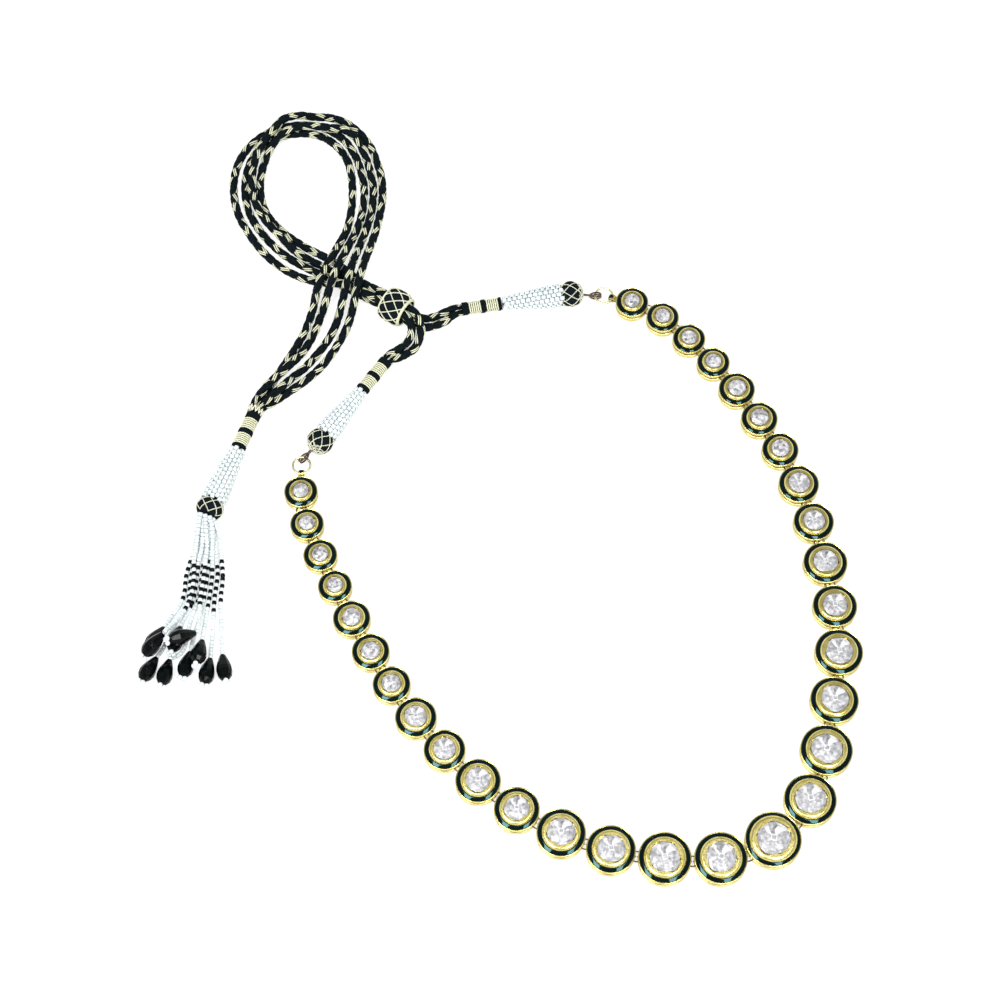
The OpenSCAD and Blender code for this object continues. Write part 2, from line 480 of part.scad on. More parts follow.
// Tassel
module on_tassel() lie_along(tassel_centre(), HEADING_TASSEL, sink(tassel_ball_d, tassel_wrap_d)) children();
module tassel_wrap() color(GOLD) on_tassel() wrap(tassel_wrap_d, wrap_start, wrap_stop);
module tassel_sleeve() color(PEARL) on_tassel() difference() {
    rotate_extrude() polygon(sleeve_profile(tassel_ball_d * sleeve_wide, tassel_sleeve_d));
    rotate_extrude() polygon(tassel_ball_profile(piece_gap));
}
function tassel_ball_profile(more = 0) =
    [[0, strand_exit], for (a = [-42 : 13.2 : 90]) (1 + more / 4) * [tassel_ball_d / 2 * cos(a),
        tassel_ball_len / 2 * sin(a)]];
module tassel_ball() color(BLACK) on_tassel() rotate_extrude() polygon(tassel_ball_profile());
module tassel_strings() color(PEARL) for (string = STRINGS)
    tube([for (p = string) p + end_shift(-1)], strand_d / 2, 8);

// Drops: faceted, narrow at the string's end, bored for the thread
// [share of the length, share of the greatest radius]
DROP_SHAPE = [[0, 0.34], [0.08, 0.46], [0.3, 0.76], [0.5, 0.95], [0.65, 1], [0.82, 0.88], [0.94, 0.6], [1, 0.3]];
drop_facets = 10;
module drop_body() rotate_extrude($fn = drop_facets) polygon([
    [drop_bore / 2, 0], for (row = DROP_SHAPE) [max(drop_bore / 2 + drop_wall, row[1] * drop_d / 2), row[0] * drop_len],
    [drop_bore / 2, drop_len]]);
module at_drop(drop) translate(drop[0] + end_shift(-1)) point_to(drop[1] - drop[0]) children();
module tassel_drops() color(BLACK) for (drop = DROPS) at_drop(drop) drop_body();
module tassel_threads() color(PEARL) for (drop = DROPS)
    at_drop(drop) translate([0, 0, -thread_before])
        cylinder(h = thread_before + drop_len + thread_past, d = thread_d);

module sided(part, side) {
    if (part == "stones") stones(side);
    if (part == "links") links(side);
    if (part == "end_ring") end_ring(side);
    if (part == "hook") hook(side);
    if (part == "ball") ball(side);
    if (part == "bead_sleeve") bead_sleeve(side);
    if (part == "thread_wrap") thread_wrap(side);
}

centre_bezel();  // bezel_centre
for (side = SIDES) for (n = [1 : bezels_a_side])
    bezel(side, n);
enamel_rings();
for (part = ["stones", "links", "end_ring", "hook", "ball", "bead_sleeve", "thread_wrap"]) for (side = SIDES)
    sided(part, side);
slider();
cord(CORD_1);  // cord_1
cord(CORD_2);  // cord_2
cord(CORD_3);  // cord_3
cord(CORD_4);  // cord_4
tassel_wrap();
tassel_sleeve();
tassel_ball();
tassel_strings();
tassel_drops();
tassel_threads();
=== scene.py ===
"""Looks of a kundan necklace with a braided cord tie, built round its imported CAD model.

The file is laid out as a Blender add-on and is run as a script. Lengths inside the makers are in
millimetres, in the CAD model's own frame, and become metres when a piece is made.
"""

import math
import random

import bpy
import numpy as np
from bpy.props import FloatProperty, FloatVectorProperty, IntProperty, PointerProperty
from bpy.types import Operator, Panel, PropertyGroup
from mathutils import Matrix, Vector


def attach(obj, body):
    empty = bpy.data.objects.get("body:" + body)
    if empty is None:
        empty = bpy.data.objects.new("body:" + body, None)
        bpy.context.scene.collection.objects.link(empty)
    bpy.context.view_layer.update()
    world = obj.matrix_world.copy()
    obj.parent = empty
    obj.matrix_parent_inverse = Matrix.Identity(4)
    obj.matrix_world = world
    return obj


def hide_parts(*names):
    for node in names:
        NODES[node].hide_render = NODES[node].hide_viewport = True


bl_info = {
    "name": "Kundan necklace",
    "version": (1, 0, 0),
    "blender": (4, 5, 0),
    "location": "3D View > Sidebar > Necklace",
    "description": "Cords, bead work, gold, enamel and stones round the packed necklace, and its stage",
    "category": "Object",
}

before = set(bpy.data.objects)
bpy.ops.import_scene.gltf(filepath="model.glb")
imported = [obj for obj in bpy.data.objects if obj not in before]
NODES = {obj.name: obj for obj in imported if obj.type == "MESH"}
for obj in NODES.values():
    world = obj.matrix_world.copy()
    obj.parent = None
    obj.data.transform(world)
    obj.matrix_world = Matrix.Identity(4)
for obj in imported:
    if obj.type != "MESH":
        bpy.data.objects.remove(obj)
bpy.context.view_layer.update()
MM = 0.001

# The routes of the cords' middles as the part's source gives them, from the thread wraps through the
# slider, round the loop and back over themselves to the tassel. Their heights are for ROUTE_DIAMETER.
ROUTE_DIAMETER = 2.6
CORD_ROUTES = {
    "cord_1": [
        (-84.8, 160.4, 1.9), (-86.8, 159.9, 1.6), (-90, 157.7, 1.3), (-93.5, 156.1, 1.3),
        (-96.5, 155.6, 1.6), (-99, 156, 2.6), (-101.8, 157.1, 3.8), (-108.5, 161.7, 3.8),
        (-112, 164.2, 2.4), (-116, 167, 1.3), (-120.5, 169.5, 1.3), (-126, 172.6, 1.3),
        (-131.5, 175.6, 1.3), (-137, 179, 1.3), (-142, 183.5, 1.3), (-146, 188.5, 1.3), (-149, 194, 1.3),
        (-150.5, 200, 1.3), (-150.6, 206, 1.3), (-149.3, 212, 1.3), (-146.5, 216.6, 1.3),
        (-142, 220, 1.3), (-136.5, 221.6, 1.3), (-131, 221.6, 1.3), (-126.5, 219.8, 1.3),
        (-122.8, 216.6, 1.3), (-120.2, 212.5, 1.3), (-118.8, 207.5, 1.3), (-118.3, 202, 1.3),
        (-118.5, 195, 1.3), (-119.6, 188.5, 1.5), (-121.5, 183, 3), (-123.3, 178, 5),
        (-125.6, 172.5, 5.8), (-127.6, 167, 5), (-129, 161, 2.6), (-131, 155, 1.3), (-134, 148.5, 1.3),
        (-138, 141.5, 1.3), (-142.2, 134.3, 1.3), (-145.3, 129.6, 1), (-145.9, 127.2, 1.2)],
    "cord_2": [
        (-85, 162.3, 1.9), (-87, 162.1, 1.6), (-89.5, 161, 1.3), (-93, 159.2, 1.3), (-96.2, 158.4, 1.9),
        (-100.2, 159.3, 3.8), (-107, 163.9, 3.8), (-110.5, 166.3, 2.4), (-114.5, 169.1, 1.3),
        (-119, 171.8, 1.3), (-124.6, 174.9, 1.3), (-130, 177.8, 1.4), (-135.2, 181, 2.2),
        (-139.6, 185.5, 3.3), (-143.6, 190, 3.4), (-146.5, 195, 3.3), (-148.3, 200.5, 3.3),
        (-148.5, 206, 3.4), (-147.8, 211, 3.8), (-146, 216, 4), (-143, 221, 4.2), (-139.7, 225.2, 4),
        (-135.5, 227.4, 2.6), (-130.5, 227.6, 1.4), (-125.5, 227.3, 1.3), (-120.8, 225.5, 1.3),
        (-116.7, 222, 1.3), (-113.4, 217.6, 1.3), (-111.2, 212, 1.3), (-109.7, 206.5, 1.3),
        (-109.2, 200, 1.3), (-109.9, 193.5, 1.4), (-111, 187.5, 2), (-112.2, 182, 3.8),
        (-113.5, 176.5, 6), (-114.8, 171, 6.9), (-115.9, 165.8, 6.8), (-117, 161, 4.6),
        (-118.4, 156.5, 2.3), (-121, 151, 1.3), (-124.5, 145, 1.3), (-129, 139.8, 1.3),
        (-134.5, 135.3, 1.3), (-140, 131.2, 1.3), (-143.3, 128.9, 1), (-144.4, 126.6, 1.2)],
    "cord_3": [
        (-108, 144.8, 1.9), (-106.9, 146.3, 1.6), (-105.3, 147.4, 1.4), (-103.2, 148.6, 1.6),
        (-101.2, 150, 2.3), (-100, 151.8, 3.3), (-99.7, 153.8, 4.4), (-100.3, 155.7, 5.7),
        (-101.5, 157, 6.4), (-103.3, 158.2, 6.6), (-108.5, 161.7, 6.6), (-112, 164.2, 5.3),
        (-116, 167, 4.1), (-120, 168.7, 4), (-124.5, 169.3, 3.2), (-129, 170.9, 1.6), (-134.5, 173, 1.3),
        (-140, 176.5, 1.3), (-145, 181.5, 1.3), (-149.2, 187.5, 1.3), (-152.5, 194, 1.3),
        (-154, 200.5, 1.3), (-154, 207, 1.3), (-152.2, 213.5, 1.3), (-148.5, 218.8, 1.3),
        (-143.5, 222.5, 1.3), (-137.5, 224.4, 1.3), (-131, 224.7, 1.3), (-125.8, 222.8, 1.3),
        (-121, 219.2, 1.3), (-118, 214.5, 1.3), (-116, 209, 1.3), (-114.8, 203, 1.3),
        (-114.9, 196.5, 1.3), (-116, 190.5, 1.4), (-117.7, 185, 2.6), (-119.5, 179.5, 4.8),
        (-121.6, 173.5, 6.4), (-123.6, 168, 6.1), (-125.2, 163, 3.8), (-126.8, 158.5, 2),
        (-128.8, 153, 1.4), (-131.6, 147.3, 2), (-136.5, 141, 3.5), (-142, 134.8, 4),
        (-145.3, 129.7, 3.4), (-145.8, 127.4, 2.9)],
    "cord_4": [
        (-106.4, 143.7, 1.9), (-105.2, 144.9, 1.6), (-103.4, 145.8, 1.3), (-101.2, 146.9, 1.4),
        (-99, 148.4, 1.9), (-97.5, 151, 2.9), (-97, 154, 4.4), (-97.9, 156.9, 5.9), (-99.7, 159, 6.5),
        (-102, 160.6, 6.6), (-107, 163.9, 6.6), (-110.5, 166.3, 5.3), (-114.5, 169.1, 4.1),
        (-118, 172, 3.9), (-121.5, 175.3, 3.2), (-125.3, 178.6, 1.6), (-130.8, 181.8, 1.3),
        (-135.6, 185, 1.3), (-140.1, 188.9, 1.3), (-143.6, 193.3, 1.3), (-145.7, 199, 1.3),
        (-146.2, 205, 1.3), (-145.5, 210, 1.6), (-143.9, 214.3, 2.9), (-141.5, 218.2, 4),
        (-137.8, 221.5, 4.1), (-134, 223, 3.7), (-130.5, 223.2, 3.6), (-126, 222.3, 3.9),
        (-121.3, 221.7, 3.8), (-117.4, 219, 3), (-115, 214.5, 1.6), (-113.1, 208.5, 1.3),
        (-112, 202.5, 1.3), (-112.3, 195.5, 1.3), (-113.4, 190, 1.6), (-114.8, 184.5, 3),
        (-116.2, 179, 5), (-117.6, 173.5, 6.6), (-118.7, 168.5, 6.9), (-120, 163.5, 5),
        (-121.4, 158.5, 2.5), (-123.6, 153, 1.3), (-127, 147.5, 1.3), (-130.7, 142.6, 1.5),
        (-135, 138, 2.6), (-140.2, 132, 4), (-143.3, 129, 3.4), (-144.3, 126.8, 2.9)],
}
# The cords are pressed thinner where the wraps bind them: shares of their size at the first two points
# and at the last two.
START_SHARES = (0.69, 0.8)
STOP_SHARES = (0.75, 0.62)

# Where each drop's narrow end lies, and a point that its round end points to
DROPS = [
    ((-168, 61.4, 1.45), (-172, 54.6, 3)),
    ((-167.4, 57.8, 6.9), (-172.6, 51.4, 6.5)),
    ((-169.6, 52.5, 1.45), (-173.1, 45.5, 3)),
    ((-163.4, 61.6, 1.45), (-165.2, 54, 3)),
    ((-165.9, 51.9, 1.45), (-167.5, 44.3, 3)),
    ((-158.6, 58.6, 5.2), (-165.6, 55.6, 7.9)),
    ((-160.2, 54.2, 1.45), (-161.8, 46.4, 3)),
    ((-156.9, 57, 3.1), (-157.8, 49.6, 5.7)),
    ((-154.6, 52.2, 1.45), (-155.7, 44.3, 3)),
    ((-151.2, 53.3, 1.45), (-149.9, 45.5, 3)),
]
# The route of each drop's bead string, from the tassel's neck to the drop
STRINGS = [
    [(-159.4, 94.8, 4.1), (-160.3, 90, 2.1), (-160.6, 86, 0.7), (-161.5, 82, 0.7), (-162.4, 78, 0.7),
     (-163.3, 70, 0.7), (-165.7, 65.5, 0.8), (-167.6, 62.1, 1.3)],
    [(-158.8, 94.4, 5.3), (-159.5, 90, 3.6), (-159.9, 86, 2), (-160.4, 82, 2.2), (-160.2, 78, 2),
     (-161, 70, 2), (-163.6, 64, 3.2), (-165.8, 60.5, 5.4), (-166.9, 58.4, 6.8)],
    [(-158.7, 94.6, 2.9), (-158.9, 90, 1.6), (-159.1, 86, 0.7), (-160.1, 82, 0.7), (-161, 78, 0.7),
     (-161.8, 70, 0.7), (-164.2, 64.5, 0.7), (-165.9, 60.5, 0.7), (-167, 58, 0.7), (-168.2, 55.2, 0.8),
     (-169.3, 53.2, 1.2)],
    [(-158, 94.3, 4.2), (-158.2, 90, 3.1), (-158.3, 86, 2), (-159, 82, 1.6), (-159.3, 80, 1.2),
     (-159.5, 78, 0.7), (-160.3, 70, 0.7), (-161.9, 65.8, 0.8), (-163.2, 62.3, 1.3)],
    [(-157.4, 94.1, 2.9), (-157.4, 90, 1.6), (-157.6, 86, 0.7), (-157.8, 82, 0.7), (-158.1, 78, 0.7),
     (-158.8, 70, 0.7), (-160.7, 64, 0.7), (-161.5, 58.5, 0.7), (-162.3, 55.2, 0.7), (-164.2, 53.1, 0.8),
     (-165.7, 52.5, 1.2)],
    [(-157.4, 93.9, 5.4), (-157.1, 90, 4.1), (-156.9, 86, 2), (-157.1, 82, 2), (-157.3, 78, 2),
     (-158.1, 70, 2), (-157.9, 64, 3.6), (-158, 59, 5)],
    [(-156.7, 93.8, 4.2), (-156.3, 90, 2.8), (-156.1, 86, 0.7), (-156.3, 82, 0.7), (-156.6, 78, 0.7),
     (-157.3, 70, 0.7), (-158.6, 63, 0.7), (-159.7, 58, 0.8), (-160.1, 54.9, 1.3)],
    [(-156.1, 93.4, 5.4), (-155.4, 90, 4), (-155.4, 86, 2), (-155.3, 82, 1.6), (-155.2, 80, 1.2),
     (-155.2, 78, 0.7), (-155.8, 70, 0.7), (-156.4, 63.5, 1.4), (-156.8, 57.7, 2.9)],
    [(-156, 93.6, 2.9), (-155, 90, 1.6), (-154.6, 86, 0.7), (-154.1, 82, 0.7), (-153.7, 78, 0.7),
     (-154.3, 70, 0.7), (-154.3, 62, 0.7), (-154.5, 52.9, 1.3)],
    [(-155.3, 93.3, 4.1), (-153.6, 90, 2.2), (-153.1, 86, 0.7), (-152.7, 82, 0.7), (-152.2, 78, 0.7),
     (-152.5, 70, 0.7), (-151.9, 62, 0.7), (-151.3, 54, 1.3)],
]
DROP_LENGTH = 8

# Each cord end's axis starts at its ball's centre and runs along the sleeve and the wrap. Then come the
# names of the three nodes on it, the ball's radius, half length and near face, how many degrees its
# lattice turns, the sleeve's widths at both ends and the wrap's diameter.
SLEEVE_START, WRAP_START, WRAP_STOP, BAND_PROUD = 2.15, 20.6, 32, 0.1
PLAIN_END = {
    "radius": 3.8, "half": 3.8, "face": -3.8, "lattice_turn": 125, "sleeve": (7.22, 4.0), "wrap": 3.8}
CORD_ENDS = {
    "right": {
        "centre": (-52.9, 165.5, 3.8), "heading": 187.3,
        "nodes": ("ball_right", "bead_sleeve_right", "thread_wrap_right"), **PLAIN_END},
    "left": {
        "centre": (-125.6, 117.8, 3.8), "heading": 55.2,
        "nodes": ("ball_left", "bead_sleeve_left", "thread_wrap_left"), **PLAIN_END},
    "tassel": {
        "centre": (-156.4, 96.7, 4.0), "heading": 69.6,
        "nodes": ("tassel_ball", "tassel_sleeve", "tassel_wrap"),
        "radius": 4.0, "half": 3.3, "face": -2.15, "lattice_turn": 105, "sleeve": (7.6, 4.9), "wrap": 4.1},
}
SLIDER_CENTRE, SLIDER_HEADING = (-104.4, 160.5, 5.2), 145.8
SLIDER_RADIUS, SLIDER_HALF, SLIDER_BORE = 5.2, 3.7, 3.35
# The slider's outline is part of an oval that is SLIDER_BULGE high, out to SLIDER_ARC each way. The
# threads of its rims: distance from the slider's middle, radius and half size.
SLIDER_BULGE, SLIDER_ARC = 1.6, math.radians(60)
SLIDER_RIMS = ((3.32, 4.52, 0.16), (3.55, 4.32, 0.18), (3.68, 4.02, 0.18))
# The end rings' centres and the headings of the line there. Each end bezel's bail stands round the near
# side of its ring.
END_RINGS = {"right": ((-43.031, 165.715, 2.3), 161), "left": ((-130.803, 110.779, 2.3), 91)}
RING_MIDDLE_RADIUS, BAIL_RADIUS, BAIL_WIDTH, PIECE_GAP = 2.55, 1.05, 1.8, 0.05
# The groove round the side of each bezel lies between these heights; the gold there gets painted shade.
GROOVE_LOW, GROOVE_HIGH = 1.85, 2.75


# Points and directions


def unit(v):
    """The vectors along the last axis, one long."""
    v = np.asarray(v, float)
    return v / np.linalg.norm(v, axis=-1, keepdims=True)


def lengths_along(path):
    """How far each point of a path lies along it."""
    return np.concatenate([[0], np.cumsum(np.linalg.norm(np.diff(path, axis=0), axis=1))])


def spaced(path, step):
    """The path again, with points about step apart."""
    along = lengths_along(path)
    at = np.linspace(0, along[-1], max(2, round(along[-1] / step) + 1))
    return np.stack([np.interp(at, along, path[:, k]) for k in range(3)], axis=1)


def smooth_path(points, step):
    """One smooth curve through the points, with points about step apart."""
    points = np.array(points, float)
    knots = lengths_along(points)
    slopes = np.gradient(points, knots, axis=0)
    pieces = []
    for i in range(len(points) - 1):
        gap = knots[i + 1] - knots[i]
        t = np.linspace(0, 1, max(4, math.ceil(4 * gap / step)), endpoint=False)[:, None]
        pieces.append(
            (2 * t**3 - 3 * t**2 + 1) * points[i] + (t**3 - 2 * t**2 + t) * gap * slopes[i]
            + (3 * t**2 - 2 * t**3) * points[i + 1] + (t**3 - t**2) * gap * slopes[i + 1])
    return spaced(np.concatenate([*pieces, points[-1:]]), step)


def crosswise(path, up=(0, 0, 1)):
    """Two directions across a path at each of its points, which turn with it and don't twist."""
    along = unit(np.gradient(path, axis=0))
    side = np.empty_like(along)
    side[0] = unit(np.cross(along[0], up))
    for i in range(1, len(path)):
        side[i] = unit(side[i - 1] - along[i] * (side[i - 1] @ along[i]))
    return side, np.cross(side, along)


class Place:
    """A straight axis in the frame: x runs along it, y crosswise on the level and z crosswise upwards."""

    def __init__(self, at, heading, sink=0.0):
        h, s = math.radians(heading), math.radians(sink)
        self.at = np.array(at, float)
        x = (math.cos(s) * math.cos(h), math.cos(s) * math.sin(h), -math.sin(s))
        y = (-math.sin(h), math.cos(h), 0.0)
        self.axes = np.array([x, y, np.cross(x, y)])

    def out(self, points):
        """Points given on the axis, in the frame."""
        return self.at + np.asarray(points, float) @ self.axes

    def around(self, x, radius, angle):
        """Points at distances along the axis, each at a radius and an angle round it."""
        across, upward = radius * np.cos(angle), radius * np.sin(angle)
        return self.out(np.stack(np.broadcast_arrays(x, across, upward), axis=-1))

    def on(self, points):
        """Points of the frame, on the axis."""
        return (np.asarray(points, float) - self.at) @ self.axes.T


def end_place(end):
    """The axis of a cord end. It sinks so that the ball and the wrap's far end both lie on the floor."""
    drop = end["centre"][2] - end["wrap"] / 2 - BAND_PROUD
    return Place(end["centre"], end["heading"], math.degrees(math.asin(drop / WRAP_STOP)))


# Meshes

# A wound thread has so many points a turn.
POINTS_A_TURN = 26
# A point of a solid that is this near to a level or to its outline counts as lying on it.
NEAR = 0.02


class Shape:
    """Points and faces of one piece, with a mark on each point: share round, length along, tone."""

    def __init__(self):
        self.points, self.marks, self.faces = [], [], []
        self.size = 0

    def grid(self, points, marks, loop=False, caps=False):
        """Adds rows of points that each close on themselves; loop joins the last row to the first."""
        rows, columns = points.shape[:2]
        index = self.size + np.arange(rows * columns).reshape(rows, columns)
        if loop:
            index = np.concatenate([index, index[:1]])
        after = np.roll(index, -1, axis=1)
        quads = np.stack([index[:-1], index[1:], after[1:], after[:-1]], axis=-1)
        self.faces += quads.reshape(-1, 4).tolist()
        if caps:
            self.faces += [index[0].tolist(), index[-1][::-1].tolist()]
        self.points.append(points.reshape(-1, 3))
        self.marks.append(marks.reshape(-1, 3))
        self.size += rows * columns

    def tube(self, path, wide, high=None, sides=6, up=None, side=None, tone=0.0, loop=False):
        """Adds a bar of oval section along a path.

        wide and high are half sizes, each one number or one a point. side and up are the directions
        across the path, where they aren't worked out from it.
        """
        path = np.asarray(path, float)
        if side is None:
            side, up = crosswise(path, (0, 0, 1) if up is None else up)
        wide = np.broadcast_to(wide, len(path))
        high = wide if high is None else np.broadcast_to(high, len(path))
        turn = 2 * math.pi * np.arange(sides) / sides
        points = (path[:, None] + (wide[:, None] * np.cos(turn))[..., None] * side[:, None]
                  + (high[:, None] * np.sin(turn))[..., None] * up[:, None])
        marks = np.empty((len(path), sides, 3))
        marks[..., 0] = turn / (2 * math.pi)
        marks[..., 1] = lengths_along(path)[:, None]
        marks[..., 2] = tone
        self.grid(points, marks, loop, caps=not loop)

    def lathe(self, place, profile, segments=48, ridges=0, ridge_height=0.0, tone=0.0, closed=False):
        """Adds a turned form on an axis, from rows of distance along and radius, outside first.

        Ridges stand round it. The last row of a closed one joins its first.
        """
        profile = np.array(profile, float)
        turn = 2 * math.pi * np.arange(segments) / segments
        radius = profile[:, 1:2] + ridge_height * np.abs(np.cos(turn * ridges / 2))
        x = np.broadcast_to(profile[:, 0:1], radius.shape)
        share = np.broadcast_to(turn / (2 * math.pi), radius.shape)
        marks = np.stack([share, x, np.full(radius.shape, tone)], axis=-1)
        points = place.out(np.stack([x, -radius * np.cos(turn), radius * np.sin(turn)], axis=-1))
        self.grid(points, marks, closed, caps=not closed)

    def piece(self, name, material, slot, replaces=(), smooth=True):
        """Makes the Blender object, in metres, on the model's one body."""
        points = np.concatenate(self.points) * MM
        points[:, 2] = np.maximum(points[:, 2], 0)
        mesh = bpy.data.meshes.new(name)
        mesh.from_pydata(points.tolist(), [], self.faces)
        wound = mesh.attributes.new("wound", "FLOAT_VECTOR", "POINT")
        wound.data.foreach_set("vector", np.concatenate(self.marks).astype(np.float32).ravel())
        mesh.polygons.foreach_set("use_smooth", [smooth] * len(mesh.polygons))
        mesh.materials.append(material)
        made = bpy.data.objects.new(name, mesh)
        bpy.context.scene.collection.objects.link(made)
        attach(made, "root")
        if replaces:
            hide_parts(*replaces)
        return made


def bead_rows(radius, length, hole):
    """Outline of a seed bead along its hole: rows of distance along and radius."""
    lip = 0.5 * (radius + hole)
    half = [(0.3, hole), (0.46, lip), (0.47, 0.8 * radius), (0.36, 0.94 * radius), (0.14, radius)]
    return [(-x * length, r) for x, r in half] + [(x * length, r) for x, r in reversed(half)]


def add_bead(shape, centre, axis, rows, tone, segments=10):
    """Adds one bead with its hole along an axis."""
    axis = unit(axis)
    side = unit(np.cross(axis, (0, 0, 1) if abs(axis[2]) < 0.9 else (1, 0, 0)))
    up = np.cross(side, axis)
    rows = np.array(rows, float)
    turn = 2 * math.pi * np.arange(segments) / segments
    around = np.cos(turn)[:, None] * side + np.sin(turn)[:, None] * up
    points = centre + rows[:, 0, None, None] * axis + rows[:, 1, None, None] * around
    marks = np.empty(points.shape)
    marks[..., 0] = turn / (2 * math.pi)
    marks[..., 1] = rows[:, 0:1]
    marks[..., 2] = tone
    shape.grid(points, marks, loop=True)


def wound_path(place, start, stop, pitch, radius):
    """The path of a thread that is wound round an axis between two distances along it."""
    turns = max(1, round((stop - start) / pitch))
    t = np.linspace(0, 1, turns * POINTS_A_TURN + 1)
    return place.around(start + (stop - start) * t, radius, 2 * math.pi * turns * t)


def loose_parts(name):
    """The separate solids of a CAD node, each an array of its points in millimetres."""
    mesh = NODES[name].data
    points = np.array([v.co for v in mesh.vertices]) / MM
    keys = {}
    same = [keys.setdefault(tuple(p), i) for i, p in enumerate(np.round(points, 3).tolist())]
    group = list(range(len(points)))

    def root(i):
        """The point that stands for a point's solid so far."""
        while group[i] != i:
            group[i] = group[group[i]]
            i = group[i]
        return i

    for polygon in mesh.polygons:
        corners = [root(same[v]) for v in polygon.vertices]
        for corner in corners[1:]:
            group[root(corner)] = root(corners[0])
    found = {}
    for i in sorted(set(same)):
        found.setdefault(root(i), []).append(points[i])
    return [np.array(part) for part in found.values()]


# Materials


def scaled(colour, share):
    """A colour made lighter or darker."""
    return tuple(share * part for part in colour)


def colours(settings, *names):
    """Some of a group's colours, by their names."""
    return [tuple(getattr(settings, name)) for name in names]


class Wire:
    """One output of a shader tree. Sums on it add Math nodes."""

    def __init__(self, tree, socket):
        self.tree = tree
        self.socket = socket

    def math(self, operation, first, second=0.5):
        """Adds one Math node."""
        return self.tree.node("ShaderNodeMath", {"operation": operation}, {0: first, 1: second})

    def __add__(self, other):
        return self.math("ADD", self, other)

    def __sub__(self, other):
        return self.math("SUBTRACT", self, other)

    def __mul__(self, other):
        return self.math("MULTIPLY", self, other)

    def __radd__(self, other):
        return self.math("ADD", other, self)

    def __rsub__(self, other):
        return self.math("SUBTRACT", other, self)

    def __rmul__(self, other):
        return self.math("MULTIPLY", other, self)

    def wave(self):
        """The sine."""
        return self.math("SINE", self)

    def ramp(self, low, high):
        """0 up to low, 1 from high on, smooth between."""
        return self.tree.node("ShaderNodeMapRange", {"interpolation_type": "SMOOTHSTEP"},
                              {"Value": self, "From Min": low, "From Max": high})

    def part(self, axis):
        """One of a vector's three numbers."""
        return self.tree.node("ShaderNodeSeparateXYZ", {}, {0: self}, axis)


class Tree:
    """A tree of nodes, cleared to start with."""

    def __init__(self, owner):
        owner.use_nodes = True
        self.data = owner.node_tree
        self.data.nodes.clear()

    def node(self, kind, settings=None, inputs=None, output=0):
        """Adds any node: its settings first, then the values or links of its sockets."""
        made = self.data.nodes.new(kind)
        for name, value in (settings or {}).items():
            if name == "stops":
                self.set_stops(made.color_ramp.elements, value)
            else:
                setattr(made, name, value)
        for name, value in (inputs or {}).items():
            if isinstance(value, Wire):
                self.data.links.new(value.socket, made.inputs[name])
            else:
                made.inputs[name].default_value = value
        return Wire(self, made.outputs[output]) if made.outputs else None

    def set_stops(self, elements, stops):
        """Gives a ramp its stops, each a position and a colour."""
        while len(elements) < len(stops):
            elements.new(0.5)
        for element, (position, colour) in zip(elements, stops):
            element.position = position
            element.color = (*colour, 1.0)


class Shader(Tree):
    """A material's tree of nodes, ending in one Principled shader."""

    def __init__(self, name):
        self.material = bpy.data.materials.new(name)
        super().__init__(self.material)
        place = self.node("ShaderNodeTexCoord", output="Object")
        self.mm = self.node("ShaderNodeVectorMath", {"operation": "SCALE"}, {0: place, "Scale": 1 / MM})
        wound = self.node("ShaderNodeAttribute", {"attribute_name": "wound"}, output="Vector")
        self.round, self.along, self.tone = (wound.part(axis) for axis in "XYZ")

    def noise(self, scale, detail=2.0):
        """A noise from 0 to 1 over the piece; scale is per millimetre."""
        return self.node("ShaderNodeTexNoise", {}, {"Vector": self.mm, "Scale": scale, "Detail": detail})

    def mix(self, share, first, second):
        """A colour between two colours."""
        first, second = (c if isinstance(c, Wire) else (*c, 1.0) for c in (first, second))
        return self.node("ShaderNodeMix", {"data_type": "RGBA"}, {0: share, 6: first, 7: second}, 2)

    def bump(self, height, depth, under=None):
        """A normal from a height from 0 to 1 that stands for so many millimetres."""
        inputs = {"Strength": 1.0, "Distance": depth * MM, "Height": height}
        if under:
            inputs["Normal"] = under
        return self.node("ShaderNodeBump", {}, inputs)

    def surface(self, **sockets):
        """Ends the tree in a Principled shader; a socket's name is written with _ for each space."""
        inputs = {name.replace("_", " "): (*value, 1.0) if isinstance(value, tuple) else value
                  for name, value in sockets.items()}
        shader = self.node("ShaderNodeBsdfPrincipled", {}, inputs)
        self.node("ShaderNodeOutputMaterial", {}, {"Surface": shader})
        return self.material


def gold_material(settings):
    """Bright yellow gold; the groove round each bezel gets painted brown shade."""
    shader = Shader("gold")
    gold, deep, dark = colours(settings, "gold", "gold_deep", "gold_dark")
    height = shader.mm.part("Z")
    fade = 0.07
    above = height.ramp(GROOVE_LOW - fade, GROOVE_LOW + fade)
    # Painted shade: in the groove round each bezel the gold is mixed most of the way to the dark gold.
    groove = above * (1 - height.ramp(GROOVE_HIGH - fade, GROOVE_HIGH + fade))
    shade = shader.mix(shader.noise(0.5, 3.0).ramp(0.35, 0.7), gold, deep)
    dents = shader.bump(shader.noise(0.7, 1.0), 0.025)
    fine = shader.bump(shader.noise(9.0, 3.0), 0.004, dents)
    return shader.surface(
        Base_Color=shader.mix(groove * 0.85, shade, dark), Metallic=0.93,
        Roughness=0.22 + 0.25 * groove + 0.08 * shader.noise(2.0), Normal=fine)


def wire_material(name, bright, dark, roughness):
    """Drawn wire of gold or copper, darker where dirt has stayed on it."""
    shader = Shader(name)
    tarnish = shader.noise(0.8, 4.0).ramp(0.42, 0.68)
    return shader.surface(
        Base_Color=shader.mix(tarnish, bright, dark), Metallic=1.0, Roughness=roughness + 0.25 * tarnish,
        Normal=shader.bump(shader.noise(6.0), 0.01))


